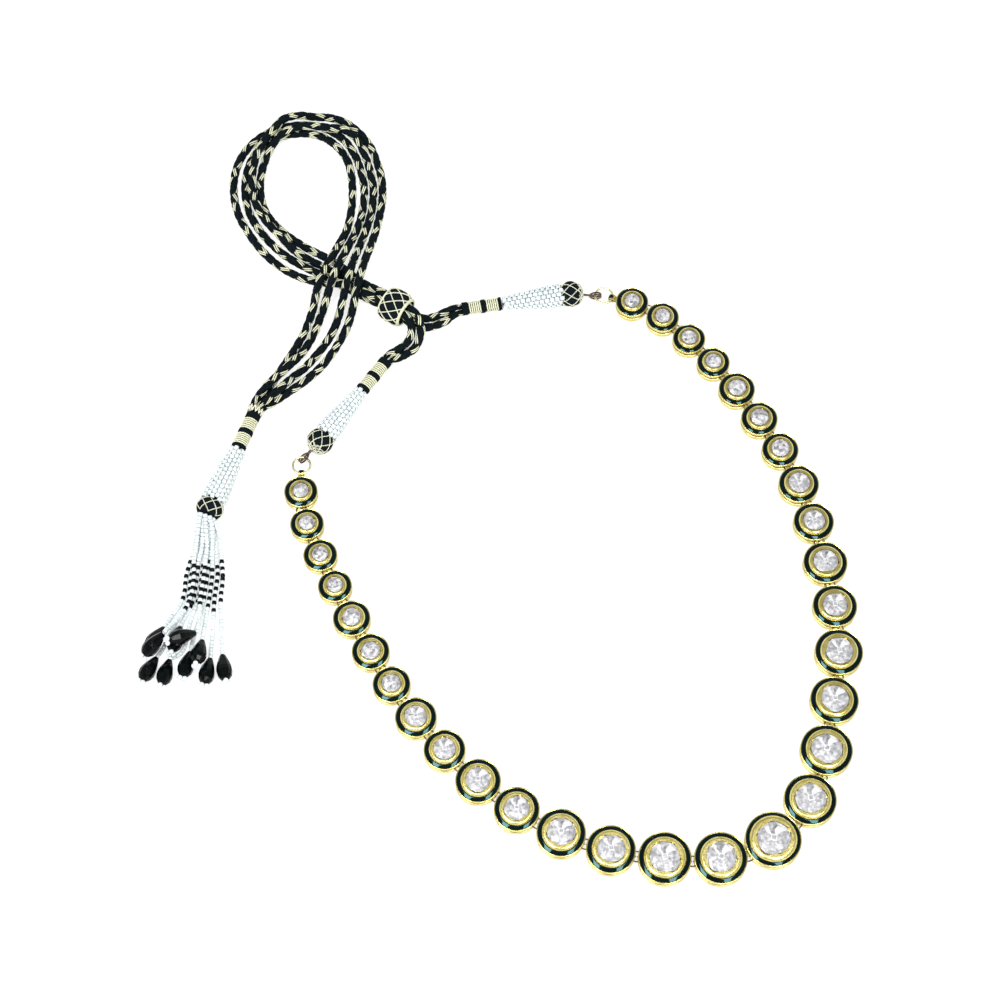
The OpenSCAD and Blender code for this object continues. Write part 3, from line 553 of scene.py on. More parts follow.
def enamel_material(settings):
    """Black-teal enamel, glassy, with a faint swim of colour."""
    shader = Shader("enamel")
    deep = tuple(settings.enamel)
    swim = shader.noise(0.35, 3.0).ramp(0.3, 0.75)
    return shader.surface(
        Base_Color=shader.mix(swim, deep, scaled(deep, 2.2)), Roughness=0.03 + 0.04 * shader.noise(3.0),
        Normal=shader.bump(shader.noise(0.5, 1.0), 0.01), Specular_IOR_Level=0.33,
        Specular_Tint=(0.45, 0.95, 1.0))


def polki_material(settings):
    """Uncut diamond over silver foil: facets in several greys, partly painted light, with the foil's
    creases showing through.
    """
    shader = Shader("polki")
    dark, middle, light = colours(settings, "stone_dark", "stone", "stone_light")
    # Facet tones: random greys, and on wide stones painted highlights and a painted dark reflection.
    facet = shader.node("ShaderNodeAttribute", {"attribute_name": "facet"}, output="Fac")
    creases = shader.noise(1.1, 4.0)
    shade = (facet * 0.8 + creases * 0.8 - 0.3).ramp(0.0, 1.0)
    stops = [(0.1, dark), (0.5, middle), (0.85, light)]
    return shader.surface(
        Base_Color=shader.node("ShaderNodeValToRGB", {"stops": stops}, {0: shade}), Metallic=0.1,
        Roughness=0.25 + 0.2 * creases, Normal=shader.bump(creases, 0.1), Coat_Weight=0.25,
        Coat_Roughness=0.1)


def thread_material(name, light, dark, roughness, gloss=0.3):
    """Twisted thread or yarn, its plies running round it, with painted shade between the plies."""
    shader = Shader(name)
    plies, lay = 5.0, 2.2
    twist = (2 * math.pi * (shader.round * plies + shader.along * lay)).wave() * 0.5 + 0.5
    fuzz = shader.noise(14.0)
    # Painted shade: the dark colour lies between the plies, the light one on them.
    shade = shader.mix((twist * 0.7 + fuzz * 0.4).ramp(0.0, 0.6), dark, light)
    return shader.surface(
        Base_Color=shader.mix(shader.tone * 0.35, shade, dark), Roughness=roughness + 0.15 * fuzz,
        Normal=shader.bump(twist * 0.8 + fuzz * 0.5, 0.05), Specular_IOR_Level=gloss)


def bead_material(name, colour, dim):
    """Glass seed beads, each a little different."""
    shader = Shader(name)
    dimmed = shader.tone.ramp(0.0, 1.0) * 0.6 + shader.noise(1.4) * 0.25
    return shader.surface(
        Base_Color=shader.mix(dimmed, colour, dim), Roughness=0.12 + 0.1 * shader.noise(4.0),
        Normal=shader.bump(shader.noise(2.2, 1.0), 0.03), Coat_Weight=0.4, Coat_Roughness=0.05)


def stone_material(name, colour):
    """Black cut stone with a high polish."""
    shader = Shader(name)
    veins = shader.noise(1.3, 4.0).ramp(0.5, 0.8)
    return shader.surface(
        Base_Color=shader.mix(veins, colour, scaled(colour, 3)),
        Roughness=0.05 + 0.06 * shader.noise(2.6), Normal=shader.bump(shader.noise(1.2, 1.0), 0.02),
        Specular_IOR_Level=0.11)


def floor_material(colour):
    """Plain pale floor, bright enough that shadows hardly show on it."""
    shader = Shader("floor")
    shade = shader.mix(shader.noise(0.02) * 0.1, colour, scaled(colour, 0.97))
    return shader.surface(
        Base_Color=shade, Roughness=0.9, Specular_IOR_Level=0.1, Emission_Color=(1.0, 1.0, 1.0),
        Emission_Strength=0.78)


def dress(name, material):
    """Gives a CAD node that stays in view its material."""
    node = NODES[name]
    if node.material_slots:
        for slot in node.material_slots:
            slot.material = material
    else:
        node.data.materials.append(material)


# The shared materials that have been made, by name
MADE = {}


def shared(name):
    """A material that several pieces share, made when it is first asked for."""
    if name not in MADE:
        scene = bpy.context.scene
        black, gold, shade, pale = colours(scene.necklace_threads, "black", "gold", "gold_shade", "pale")
        white, dim, jet = colours(scene.necklace_beads, "white", "white_dim", "black")
        # Each thread's second colour is the painted shade between its plies.
        makers = {
            "black_thread": lambda: thread_material(name, black, scaled(black, 0.4), 0.7, 0.06),
            "gold_thread": lambda: thread_material(name, gold, shade, 0.45),
            "pale_thread": lambda: thread_material(name, pale, shade, 0.5),
            "white_bead": lambda: bead_material(name, white, dim),
            "black_stone": lambda: stone_material(name, jet),
        }
        MADE[name] = makers[name]()
    return MADE[name]


# Settings


def colour_setting(name, description, default):
    """A colour that the user can set."""
    return FloatVectorProperty(name=name, description=description, subtype="COLOR", default=default)


def length_setting(name, description, default, least, most):
    """A length that the user can set, in metres."""
    return FloatProperty(
        name=name, description=description, default=default, min=least, max=most, unit="LENGTH",
        subtype="DISTANCE")


class StageSettings(PropertyGroup):
    """The photo stage."""

    floor: colour_setting("Floor", "Colour of the floor", (0.32, 0.32, 0.32))
    sky: FloatProperty(
        name="Sky", description="Brightness of the room round the piece", default=1.3, min=0.0)
    lens: FloatProperty(
        name="Lens", description="Focal length of the camera", default=92.0, min=10.0, unit="CAMERA")
    left_light: FloatProperty(
        name="Left light", description="Power of the left softbox", default=6.8, min=0.0, unit="POWER")
    right_light: FloatProperty(
        name="Right light", description="Power of the right softbox", default=4.9, min=0.0, unit="POWER")


class CordSettings(PropertyGroup):
    """The braided cords."""

    diameter: length_setting("Diameter", "Across one cord", 0.0025, 0.0022, 0.0028)
    pitch: length_setting(
        "Braid pitch", "Length in which a yarn goes once round the cord", 0.0178, 0.007, 0.02)
    step: length_setting("Step", "Distance between the points of a yarn", 0.00045, 0.0002, 0.0006)
    drift: FloatProperty(
        name="Drift", description="How far the braid turns round in a metre of cord", default=48.0,
        subtype="ANGLE")


class ThreadSettings(PropertyGroup):
    """The colours of the threads."""

    black: colour_setting("Black", "Black thread and yarn", (0.005, 0.01, 0.013))
    gold: colour_setting("Gold", "Gold thread in the light", (0.89, 0.9, 0.66))
    # Painted shade between the plies of the gold and pale threads.
    gold_shade: colour_setting("Gold shade", "Gold thread between its plies", (0.36, 0.37, 0.17))
    pale: colour_setting("Pale", "The pale lattice thread in the light", (1.0, 1.0, 0.82))


class BeadSettings(PropertyGroup):
    """Seed beads and drops."""

    diameter: length_setting("Diameter", "Across a seed bead of the sleeves", 0.0015, 0.001, 0.002)
    length: length_setting(
        "Length", "Along the hole of a seed bead of the sleeves", 0.00122, 0.0008, 0.002)
    string_pitch: length_setting(
        "String pitch", "From bead to bead on the tassel's strings", 0.00108, 0.0008, 0.002)
    string_bead: length_setting(
        "String bead", "Across a seed bead of the tassel's strings", 0.00138, 0.001, 0.002)
    pearls: IntProperty(
        name="Pearls", description="Tiny pearls at each drop's tip", default=3, min=1, max=5)
    white: colour_setting("White", "White seed beads", (0.8, 0.86, 0.87))
    white_dim: colour_setting("White, dim", "The dimmer of the white seed beads", (0.6, 0.67, 0.68))
    black: colour_setting("Black", "Black seed beads and drops", (0.002, 0.003, 0.003))


class MetalSettings(PropertyGroup):
    """Gold, copper, enamel and stones."""

    gold: colour_setting("Gold", "Bright gold of the bezels", (0.78, 0.69, 0.28))
    gold_deep: colour_setting("Deep gold", "The deeper patches of the gold", (0.62, 0.52, 0.14))
    gold_pale: colour_setting("Pale gold", "Gold of the end rings", (0.86, 0.81, 0.53))
    # Painted shade in the groove, and the links' dark gold, which is partly their own colour and partly
    # painted shade.
    gold_dark: colour_setting("Dark gold", "Gold in the groove and on the links", (0.22, 0.13, 0.035))
    copper: colour_setting("Copper", "The hooks' wire", (0.2, 0.135, 0.095))
    stone: colour_setting("Stone", "Middle grey of the uncut diamonds", (0.38, 0.38, 0.395))
    # The lightest tone also carries the painted highlights of the wide stones.
    stone_light: colour_setting("Stone, light", "Their lightest facets", (0.74, 0.74, 0.76))
    stone_dark: colour_setting("Stone, dark", "Their darkest facets", (0.13, 0.13, 0.14))
    enamel: colour_setting("Enamel", "Black-teal enamel", (0.001, 0.0035, 0.0037))


# The stage. Lengths are in metres, and the sensor's width is in millimetres.

CAMERA_PLACE, CAMERA_AHEAD, SENSOR_WIDTH = (-0.07407, -0.1845, 0.6734), (0, 0.3907, -0.9205), 36.0
# Where each softbox hangs, its width and length, and the bearing of its length on the floor. Both
# shine on one point.
SOFTBOXES = {
    "left_softbox": {"place": (-0.36, -0.14, 0.9), "size": (0.18, 0.66), "bearing": 57},
    "right_softbox": {"place": (0.18, -0.2, 0.9), "size": (0.15, 0.66), "bearing": 103},
}
LIGHT_AIM = (-0.07, 0.08, 0.0)
# The room's colour from level up to overhead
ROOM_STOPS = [(0.1, (1.0, 1.0, 1.0)), (0.72, (0.2, 0.2, 0.205))]
FLOOR_REACH, FLOOR_DROP = 6.0, 0.00005


class NECKLACE_OT_stage(Operator):
    """Makes the camera, the lights, the room's light and the floor."""

    bl_idname = "necklace.stage"
    bl_label = "Photo stage"

    def execute(self, context):
        settings = context.scene.necklace_stage
        context.scene.view_settings.view_transform = "Standard"
        self.camera(context.scene, settings.lens)
        self.room(context.scene, settings.sky)
        self.softbox(context.scene, "left_softbox", settings.left_light)
        self.softbox(context.scene, "right_softbox", settings.right_light)
        self.floor(context.scene, tuple(settings.floor))
        return {"FINISHED"}

    def camera(self, scene, lens):
        """Stands the camera at the photograph's own angle, 67 degrees above the floor."""
        data = bpy.data.cameras.new("camera")
        data.lens = lens
        data.sensor_width = SENSOR_WIDTH
        data.clip_start = 0.01
        camera = bpy.data.objects.new("camera", data)
        camera.location = CAMERA_PLACE
        camera.rotation_euler = Vector(CAMERA_AHEAD).to_track_quat("-Z", "Y").to_euler()
        scene.collection.objects.link(camera)
        scene.camera = camera

    def room(self, scene, strength):
        """Light all round: white at the sides and dimmer overhead, so that dark surfaces stay dark."""
        world = bpy.data.worlds.new("room")
        tree = Tree(world)
        height = tree.node("ShaderNodeTexCoord", output="Generated").part("Z")
        colour = tree.node("ShaderNodeValToRGB", {"stops": ROOM_STOPS}, {0: height})
        light = tree.node("ShaderNodeBackground", {}, {"Color": colour, "Strength": strength})
        tree.node("ShaderNodeOutputWorld", {}, {"Surface": light})
        scene.world = world

    def softbox(self, scene, name, power):
        """Hangs one oblong area light."""
        box = SOFTBOXES[name]
        data = bpy.data.lights.new(name, "AREA")
        data.shape = "RECTANGLE"
        data.size, data.size_y = box["size"]
        data.energy = power
        back = (Vector(box["place"]) - Vector(LIGHT_AIM)).normalized()
        bearing = math.radians(box["bearing"])
        length = Vector((math.cos(bearing), math.sin(bearing), 0))
        across = length.cross(back).normalized()
        turned = Matrix((across, back.cross(across), back)).transposed().to_4x4()
        light = bpy.data.objects.new(name, data)
        light.matrix_world = Matrix.Translation(box["place"]) @ turned
        scene.collection.objects.link(light)

    def floor(self, scene, colour):
        """Lays a wide level sheet just under the necklace."""
        signs = ((-1, -1), (1, -1), (1, 1), (-1, 1))
        corners = [(x * FLOOR_REACH, y * FLOOR_REACH, -FLOOR_DROP) for x, y in signs]
        mesh = bpy.data.meshes.new("floor")
        mesh.from_pydata(corners, [], [(0, 1, 2, 3)])
        mesh.materials.append(floor_material(colour))
        floor = bpy.data.objects.new("floor", mesh)
        scene.collection.objects.link(floor)


# The cords

# The braid has this many yarns each way, and these of them carry two gold threads. Each next cord's
# braid is turned on by so many radians.
YARNS, GOLD_YARNS, TURN_ON = 6, (0, 3), 1.1
# Shares of the cord's diameter: the core's half size, the yarns' mean distance from the middle and how
# far they weave in and out, a yarn's half sizes, and how high its gold lies on it
CORE, YARN_MIDDLE, WEAVE, YARN_WIDE, YARN_HIGH, GOLD_LIFT = 0.32, 0.355, 0.055, 0.215, 0.09, 0.06
# The gold threads' half sizes, and how far they lie to each side of the yarn's middle
GOLD_WIDE, GOLD_HIGH, GOLD_APART = 0.21, 0.12, 0.26


class NECKLACE_OT_cords(Operator):
    """Braids the four cords from twelve black yarns each, some of them with gold threads."""

    bl_idname = "necklace.cords"
    bl_label = "Braided cords"

    def execute(self, context):
        settings = context.scene.necklace_cords
        for order, (name, route) in enumerate(CORD_ROUTES.items()):
            self.braid(settings, name, route, order)
        return {"FINISHED"}

    def braid(self, settings, name, route, order):
        """Makes one cord: a core, and yarns that wind both ways over and under each other."""
        across = settings.diameter / MM
        lower = (ROUTE_DIAMETER - across) / 2
        middle = smooth_path([(x, y, z - lower) for x, y, z in route], settings.step / MM)
        along = lengths_along(middle)
        size = cord_size(route, along)
        wide = across * size
        side, up = crosswise(middle)
        black, gold = Shape(), Shape()
        black.tube(middle, CORE * wide, sides=8, side=side, up=up, tone=1.0)
        drift = settings.drift * along * MM + TURN_ON * order
        for way in (1, -1):
            for yarn in range(YARNS):
                turn = way * 2 * math.pi * along / (settings.pitch / MM) + 2 * math.pi * yarn / YARNS
                over = way * np.cos(YARNS / 2 * turn)
                radius = wide * (YARN_MIDDLE + WEAVE * np.clip(1.5 * over, -1, 1))
                angle = turn + drift
                outward = np.cos(angle)[:, None] * side + np.sin(angle)[:, None] * up
                path = middle + radius[:, None] * outward
                forward = unit(np.gradient(path, axis=0))
                flat = unit(np.cross(forward, outward))
                rise = np.cross(flat, forward)
                black.tube(path, YARN_WIDE * wide, YARN_HIGH * wide, side=flat, up=rise, tone=0.15 * yarn)
                if yarn in GOLD_YARNS:
                    shown = size * np.clip(0.62 + 0.6 * over, 0.05, 1)
                    lifted = path + (GOLD_LIFT * across * shown)[:, None] * rise
                    for shift in (-GOLD_APART, GOLD_APART):
                        lying = lifted + (shift * size)[:, None] * flat
                        gold.tube(lying, GOLD_WIDE * shown, GOLD_HIGH * shown, sides=5, side=flat, up=rise)
        gilt = gold.piece(name + "_gold_yarns", shared("gold_thread"), "gold_thread")
        cord = black.piece(name + "_braid", shared("black_thread"), "cord", replaces=(name,))


def cord_size(route, along):
    """The share of its size that a cord has at each distance along it: less where its ends are bound."""
    knots = lengths_along(np.array(route, float))
    shares = np.ones(len(knots))
    shares[:2] = START_SHARES
    shares[-2:] = STOP_SHARES
    return np.interp(along, knots * along[-1] / knots[-1], shares)


# Bezels, links, rings and hooks

# A poured ring's corner is rounded off from CORNER_LOW under the solid's corner to CORNER_HIGH above it
# and CORNER_WIDE inwards, and its crest stays CREST_UNDER below the solid's. It slopes up by a power,
# and is level from this share of the way in to the collar.
CORNER_LOW, CORNER_HIGH, CORNER_WIDE, CREST_UNDER = 0.02, 0.05, 0.04, 0.03
SLOPE_POWER, LEVEL_FROM = 1.25, 0.9
# The enamel on a bail: the arc that it covers in degrees, and its half thickness and half width
DOT_ARC, DOT_HIGH, DOT_WIDE, DOT_POINTS = (-30, 104), 0.16, 0.42 * BAIL_WIDTH, 17


class NECKLACE_OT_bezels(Operator):
    """Finishes the gold bezels and their enamel."""

    bl_idname = "necklace.bezels"
    bl_label = "Bezels and enamel"

    def execute(self, context):
        settings = context.scene.necklace_metals
        gold = gold_material(settings)
        for name in NODES:
            if name.startswith("bezel_"):
                dress(name, gold)
        enamel = enamel_material(settings)
        rings = Shape()
        for part in loose_parts("enamel_rings"):
            self.enamel_ring(rings, part)
        rings.piece("enamel_rings_poured", enamel, "enamel", replaces=("enamel_rings",))
        for side, (ring, heading) in END_RINGS.items():
            self.bail_dot(side, Place(ring, heading), enamel)
        return {"FINISHED"}

    def enamel_ring(self, shape, part):
        """Adds one poured ring: it slopes up from the rim and levels out towards the collar."""
        middle = (part.max(axis=0) + part.min(axis=0)) / 2
        reach = np.linalg.norm((part - middle)[:, :2], axis=1)
        outer, inner, base = reach.max(), reach.min(), part[:, 2].min()
        edge = part[reach > outer - NEAR][:, 2].max() - base
        low, high = edge + CORNER_HIGH, part[:, 2].max() - base - CREST_UNDER
        profile = [(0, outer), (edge - CORNER_LOW, outer), (low, outer - CORNER_WIDE)]
        for t in np.linspace(0.1, 1, 9):
            rise = 1 - (1 - min(1.0, t / LEVEL_FROM)) ** SLOPE_POWER
            profile.append((low + (high - low) * rise, outer + (inner - outer) * t))
        profile.append((0, inner))
        shape.lathe(Place((middle[0], middle[1], base), 0, -90), profile, 72, closed=True)

    def bail_dot(self, side, place, enamel):
        """Makes the drop of enamel on the crest of an end bezel's bail."""
        turn = np.radians(np.linspace(*DOT_ARC, DOT_POINTS))
        radius, hole = BAIL_RADIUS - 0.02, -RING_MIDDLE_RADIUS - PIECE_GAP
        arc = np.stack([hole + radius * np.cos(turn), 0 * turn, radius * np.sin(turn)], axis=-1)
        swell = np.sqrt(np.sin(np.linspace(0.12, math.pi - 0.12, DOT_POINTS)))
        shape = Shape()
        shape.tube(place.out(arc), DOT_HIGH * swell, DOT_WIDE * swell, sides=12, up=place.axes[1])
        shape.piece(f"bail_enamel_{side}", enamel, "enamel")


class NECKLACE_OT_fittings(Operator):
    """Finishes the links, the end rings and the copper hooks."""

    bl_idname = "necklace.fittings"
    bl_label = "Links, rings and hooks"

    def execute(self, context):
        dark, pale, copper = colours(context.scene.necklace_metals, "gold_dark", "gold_pale", "copper")
        wires = {
            # The links' dark gold is partly their own colour and partly painted shade between the bezels.
            "links_": wire_material("link_gold", dark, scaled(dark, 0.4), 0.4),
            "end_ring_": wire_material("ring_gold", pale, scaled(pale, 0.9), 0.3),
            "hook_": wire_material("copper", copper, scaled(copper, 0.35), 0.34),
        }
        for side in ("left", "right"):
            for kind, material in wires.items():
                dress(kind + side, material)
        return {"FINISHED"}


# Stones

# A stone that reaches less far than this from its middle has fewer facets round it.
SMALL_STONE, FEW_COLUMNS, MANY_COLUMNS = 3.1, 11, 18
# The table's half size as a share of the stone's, and its level part as a share of it
TABLE_SHARE, TABLE_LEVEL = 0.19, 0.7
# On a wide stone the facets beyond the table that face the first two bearings, within so many degrees,
# carry painted highlights, and those facing the third carry a painted dark reflection. The back of
# every stone has one tone.
PAINTED_HIGHLIGHT_FACING, PAINTED_HIGHLIGHT_WITHIN, PAINTED_DARK_FACING, PAINTED_DARK_WITHIN = (56, 128), 17, 92, 12
BACK_TONE = 0.3


def level_arms(reach, bearings):
    """Level arms of these lengths at these bearings."""
    return np.stack([reach * np.cos(bearings), reach * np.sin(bearings), 0 * reach], axis=-1)


class NECKLACE_OT_stones(Operator):
    """Cuts the uncut diamonds: uneven crowns with a small table, over silver foil."""

    bl_idname = "necklace.stones"
    bl_label = "Stones"

    def execute(self, context):
        polki = polki_material(context.scene.necklace_metals)
        for side in ("left", "right"):
            draw = random.Random(7 if side == "left" else 11)
            shape, tones = Shape(), []
            for part in sorted(loose_parts("stones_" + side), key=lambda p: tuple(p.mean(axis=0))):
                tones += self.stone(shape, part, draw)
            made = shape.piece(
                f"polki_{side}", polki, "stone", replaces=("stones_" + side,), smooth=False)
            facet = made.data.attributes.new("facet", "FLOAT", "FACE")
            facet.data.foreach_set("value", tones)
        return {"FINISHED"}

    def stone(self, shape, part, draw):
        """Adds one stone on the outline that its solid has, and gives the tones of its facets."""
        levels = sorted(set(np.round(part[:, 2], 2)))
        base, rim, top = levels[0], levels[1], levels[-1]
        rise = top - rim
        girdle = part[np.abs(part[:, 2] - rim) < NEAR]
        middle = np.array([*part[np.abs(part[:, 2] - top) < NEAR][:, :2].mean(axis=0), 0.0])
        corners = (girdle - middle)[:, :2]
        small = np.linalg.norm(corners, axis=1).max() < SMALL_STONE
        # From the back up: share of the outline, height, unevenness and turn in columns
        sections = ((0.84, base, 0, 0), (0.985, rim, 0, 0), (0.8, rim + 0.5 * rise, 0.1, 0.5),
                    (0.5, rim + 0.86 * rise, 0.2, 0))
        rings = []
        for share, height, uneven, turn in sections:
            arms = self.outline(corners, FEW_COLUMNS if small else MANY_COLUMNS, turn)
            lift = [min(height + uneven * draw.uniform(-0.6, 0.6) * rise, top - 0.01) for _ in arms]
            swing = [share + uneven * draw.uniform(-0.5, 0.5) for _ in arms]
            rings.append(middle + np.array(swing)[:, None] * arms + np.array(lift)[:, None] * (0, 0, 1))
        bearings = np.arctan2(arms[:, 1], arms[:, 0])
        angle = bearings - draw.uniform(-0.25, 0.25)
        table = TABLE_SHARE * np.linalg.norm(arms, axis=1).mean()
        square = level_arms(table / np.maximum(np.abs(np.cos(angle)), np.abs(np.sin(angle))), bearings)
        rings.append(middle + square + (0, 0, top - 0.03))
        rings.append(middle + TABLE_LEVEL * square + (0, 0, top))
        points = np.array(rings)
        shape.grid(points, np.zeros(points.shape), caps=True)
        return self.tones(bearings, small, draw)

    def outline(self, corners, columns, turn):
        """The stone's outline as arms from its middle, its corners a little worn."""
        corners = corners[np.argsort(np.arctan2(corners[:, 1], corners[:, 0]))]
        t = np.linspace(0, 1, 12, endpoint=False)[:, None]
        edges = np.concatenate([a + t * (b - a) for a, b in zip(corners, np.roll(corners, -1, axis=0))])
        angle = np.arctan2(edges[:, 1], edges[:, 0])
        order = np.argsort(angle)
        bearings = math.pi - 2 * math.pi * (np.arange(columns) + turn) / columns
        far = np.linalg.norm(edges, axis=1)
        reach = np.interp(bearings, angle[order], far[order], period=2 * math.pi)
        return level_arms(0.5 * reach + 0.5 * reach.mean(), bearings)

    def tones(self, bearings, small, draw):
        """The facets' tones. A wide stone has two painted highlights above its table, a painted dark
        reflection between.
        """
        after = np.roll(bearings, -1)
        facing = np.arctan2(np.sin(bearings) + np.sin(after), np.cos(bearings) + np.cos(after))
        facing = np.degrees(facing) % 360
        outer = [draw.uniform(0.42, 0.58) for _ in facing]
        if small:
            inner = [draw.uniform(0.25, 0.8) for _ in facing]
            beside = [draw.uniform(0.3, 0.75) for _ in facing]
            edge, table = 0.75, 0.6
        else:
            inner = [draw.uniform(0.44, 0.58) for _ in facing]
            # Painted highlights on the facets facing these bearings, and a painted dark reflection on the
            # one between.
            for i, bearing in enumerate(facing):
                if min(abs(bearing - bright) for bright in PAINTED_HIGHLIGHT_FACING) < PAINTED_HIGHLIGHT_WITHIN:
                    inner[i] = 1.0
                    outer[i] = 0.7
                elif abs(bearing - PAINTED_DARK_FACING) < PAINTED_DARK_WITHIN:
                    inner[i] = 0.33
            beside = [0.6 * tone + 0.2 for tone in inner]
            edge, table = 0.85, 0.5
        count = len(facing)
        return [BACK_TONE] * count + outer + inner + beside + [edge] * count + [BACK_TONE, table]


# Balls, sleeves and wraps

# The winding lies so far under a ball's outline, in so many ridges. The lattice ends at a latitude, in
# degrees, and the closer net round a ball's hook lies between two.
WINDING_UNDER, BALL_RIDGES, SLIDER_RIDGES, RIDGE_HEIGHT = 0.12, 58, 80, 0.1
LATTICE_TOP, CAP_LATITUDES = 81.36, (-86, -40)
# The bead sleeves: how far the core lies inside the outline, its thickness at the narrow end, how far
# the outline swells, and half the stretch below that has no beads, in radians.
CORE_UNDER, CORE_THICK, SLEEVE_SWELL, SEAM = 0.95, 0.35, 0.25, 0.09
# The gold bands, as shares of the wrap's length, and the gold and the black threads' half sizes
GOLD_BANDS, GOLD_HALF, BLACK_HALF = ((0.1, 0.42), (0.55, 0.87)), 0.23, 0.22
# Where the black thread over the cords ends
NECK = WRAP_STOP + 0.4


def ball_rows(radius, half, face):
    """Outline of a ball along its axis, from its flat face or its end to the other end."""
    start = math.degrees(math.asin(max(-0.999, face / half)))
    return [(half * math.sin(a), radius * math.cos(a)) for a in np.radians(np.linspace(start, 88, 20))]


def lattice(shape, place, surface, count, advance, radius, steps=26):
    """Adds threads that cross over a turned form both ways.

    surface gives the distance along and the radius for t from -1 to 1, and advance is how many degrees
    a thread turns on the way.
    """
    t = np.linspace(-1, 1, steps)
    x, r = surface(t)
    for way in (1, -1):
        lift = r + radius * (0.5 if way > 0 else 0.9)
        for k in range(count):
            angle = 2 * math.pi * k / count + way * math.radians(advance) * t / 2
            shape.tube(place.around(x, lift, angle), radius, sides=5, tone=0.2 * (k % 3))


def ball_surface(half, radius, low, high, proud):
    """A lattice's surface on a ball: between two latitudes in degrees, and so far proud of it."""
    middle, reach = math.radians((low + high) / 2), math.radians((high - low) / 2)
    return lambda t: (half * np.sin(middle + reach * t), radius * np.cos(middle + reach * t) + proud)


class NECKLACE_OT_balls(Operator):
    """Winds the three balls in black thread with a pale lattice over it."""

    bl_idname = "necklace.balls"
    bl_label = "Thread balls"

    def execute(self, context):
        for end in CORD_ENDS.values():
            self.ball(end)
        return {"FINISHED"}

    def ball(self, end):
        """Makes one ball. Those with a hook have a closer net round their outer end."""
        place, node = end_place(end), end["nodes"][0]
        radius, half = end["radius"] - WINDING_UNDER, end["half"] - WINDING_UNDER
        body, net = Shape(), Shape()
        body.lathe(place, ball_rows(radius, half, end["face"]), 4 * BALL_RIDGES, BALL_RIDGES, RIDGE_HEIGHT)
        low = math.degrees(math.asin(max(-0.99, end["face"] / half)))
        surface = ball_surface(half, radius, low, LATTICE_TOP, 0.05)
        lattice(net, place, surface, count=7, advance=end["lattice_turn"], radius=0.13)
        if end is not CORD_ENDS["tassel"]:
            cap = ball_surface(half, radius, *CAP_LATITUDES, 0.07)
            lattice(net, place, cap, count=9, advance=75, radius=0.12, steps=16)
        body.piece(node + "_winding", shared("black_thread"), "black_thread", replaces=(node,))
        net.piece(node + "_lattice", shared("pale_thread"), "gold_thread")


class NECKLACE_OT_sleeves(Operator):
    """Weaves the three sleeves of seed beads, each bead set between two of the next row."""

    bl_idname = "necklace.sleeves"
    bl_label = "Bead sleeves"

    def execute(self, context):
        for seed, name in enumerate(("left", "right", "tassel"), 30):
            self.sleeve(context.scene.necklace_beads, CORD_ENDS[name], random.Random(seed))
        return {"FINISHED"}

    def sleeve(self, settings, end, draw):
        """Makes one sleeve, with its seam below.

        Its beads lie on the net of a cone that is opened flat, so that their columns stay straight.
        """
        place, node = end_place(end), end["nodes"][1]
        wide, narrow = (width / 2 for width in end["sleeve"])
        start, stop = SLEEVE_START, WRAP_START - 0.15
        across, long = settings.diameter / MM, settings.length / MM
        row_gap, column_gap, inset = 1.03 * across, 1.06 * long, 0.4 * across
        taper = (wide - narrow) / (stop - start)
        slope, tip = math.atan(taper), start + wide / taper
        far, near = ((tip - x) / math.cos(slope) for x in (start, stop))
        rows = bead_rows(across / 2, long, 0.22 * across)
        beads, core = Shape(), Shape()
        # More columns and rows than a sleeve needs: those beyond its ends or its seam are left out.
        for column in range(-16, 17):
            for row in range(-4, 40):
                flat_x = far - inset - (row + 0.5 * (column % 2)) * row_gap
                flat_y = column * column_gap
                polar, bearing = math.hypot(flat_x, flat_y), math.atan2(flat_y, flat_x)
                angle = bearing / math.sin(slope)
                if not near + 0.3 * across < polar < far - 0.2 * across or abs(angle) > math.pi - SEAM:
                    continue
                x = tip - polar * math.cos(slope)
                share = (x - start) / (stop - start)
                swell = SLEEVE_SWELL * math.sin(math.pi * share) * (1 - share)
                radius = (tip - x) * taper + swell - inset + draw.uniform(-0.03, 0.03)
                angle += math.pi / 2
                tilt = bearing + draw.uniform(-0.1, 0.1)
                level = math.cos(tilt)
                hole = (math.sin(tilt), -level * math.sin(angle), level * math.cos(angle))
                add_bead(beads, place.around(x, radius, angle), hole @ place.axes, rows, draw.random())
        shell = [(start + 0.1, wide - 1.5), (start + 0.1, wide - CORE_UNDER), (stop, narrow - CORE_UNDER),
                 (stop, narrow - CORE_UNDER - CORE_THICK)]
        core.lathe(place, shell, 40, tone=0.5, closed=True)
        beads.piece(node + "_beads", shared("white_bead"), "white_bead", replaces=(node,))
        core.piece(node + "_core", shared("black_thread"), "black_thread")


def bundle_section(place, x, near, far, radius):
    """The oval round the tassel's cords at distances along its axis: its half sizes, then its middle.

    Up to the distance near it is round, with the wrap's radius. From far on it fits the four cords.
    """
    cords = []
    for route in CORD_ROUTES.values():
        local = place.on(smooth_path(route, 0.5)[::-1][:30])
        cords.append([np.interp(far, local[:, 0], local[:, k]) for k in (1, 2)])
    low, high = np.min(cords, axis=0), np.max(cords, axis=0)
    middle, half = (high + low) / 2, (high - low + ROUTE_DIAMETER) / 2 + 0.02
    share = np.clip((x - near) / (far - near), 0, 1)
    share = share * share * (3 - 2 * share)
    return [radius + share * (size - radius) for size in half] + [share * offset for offset in middle]


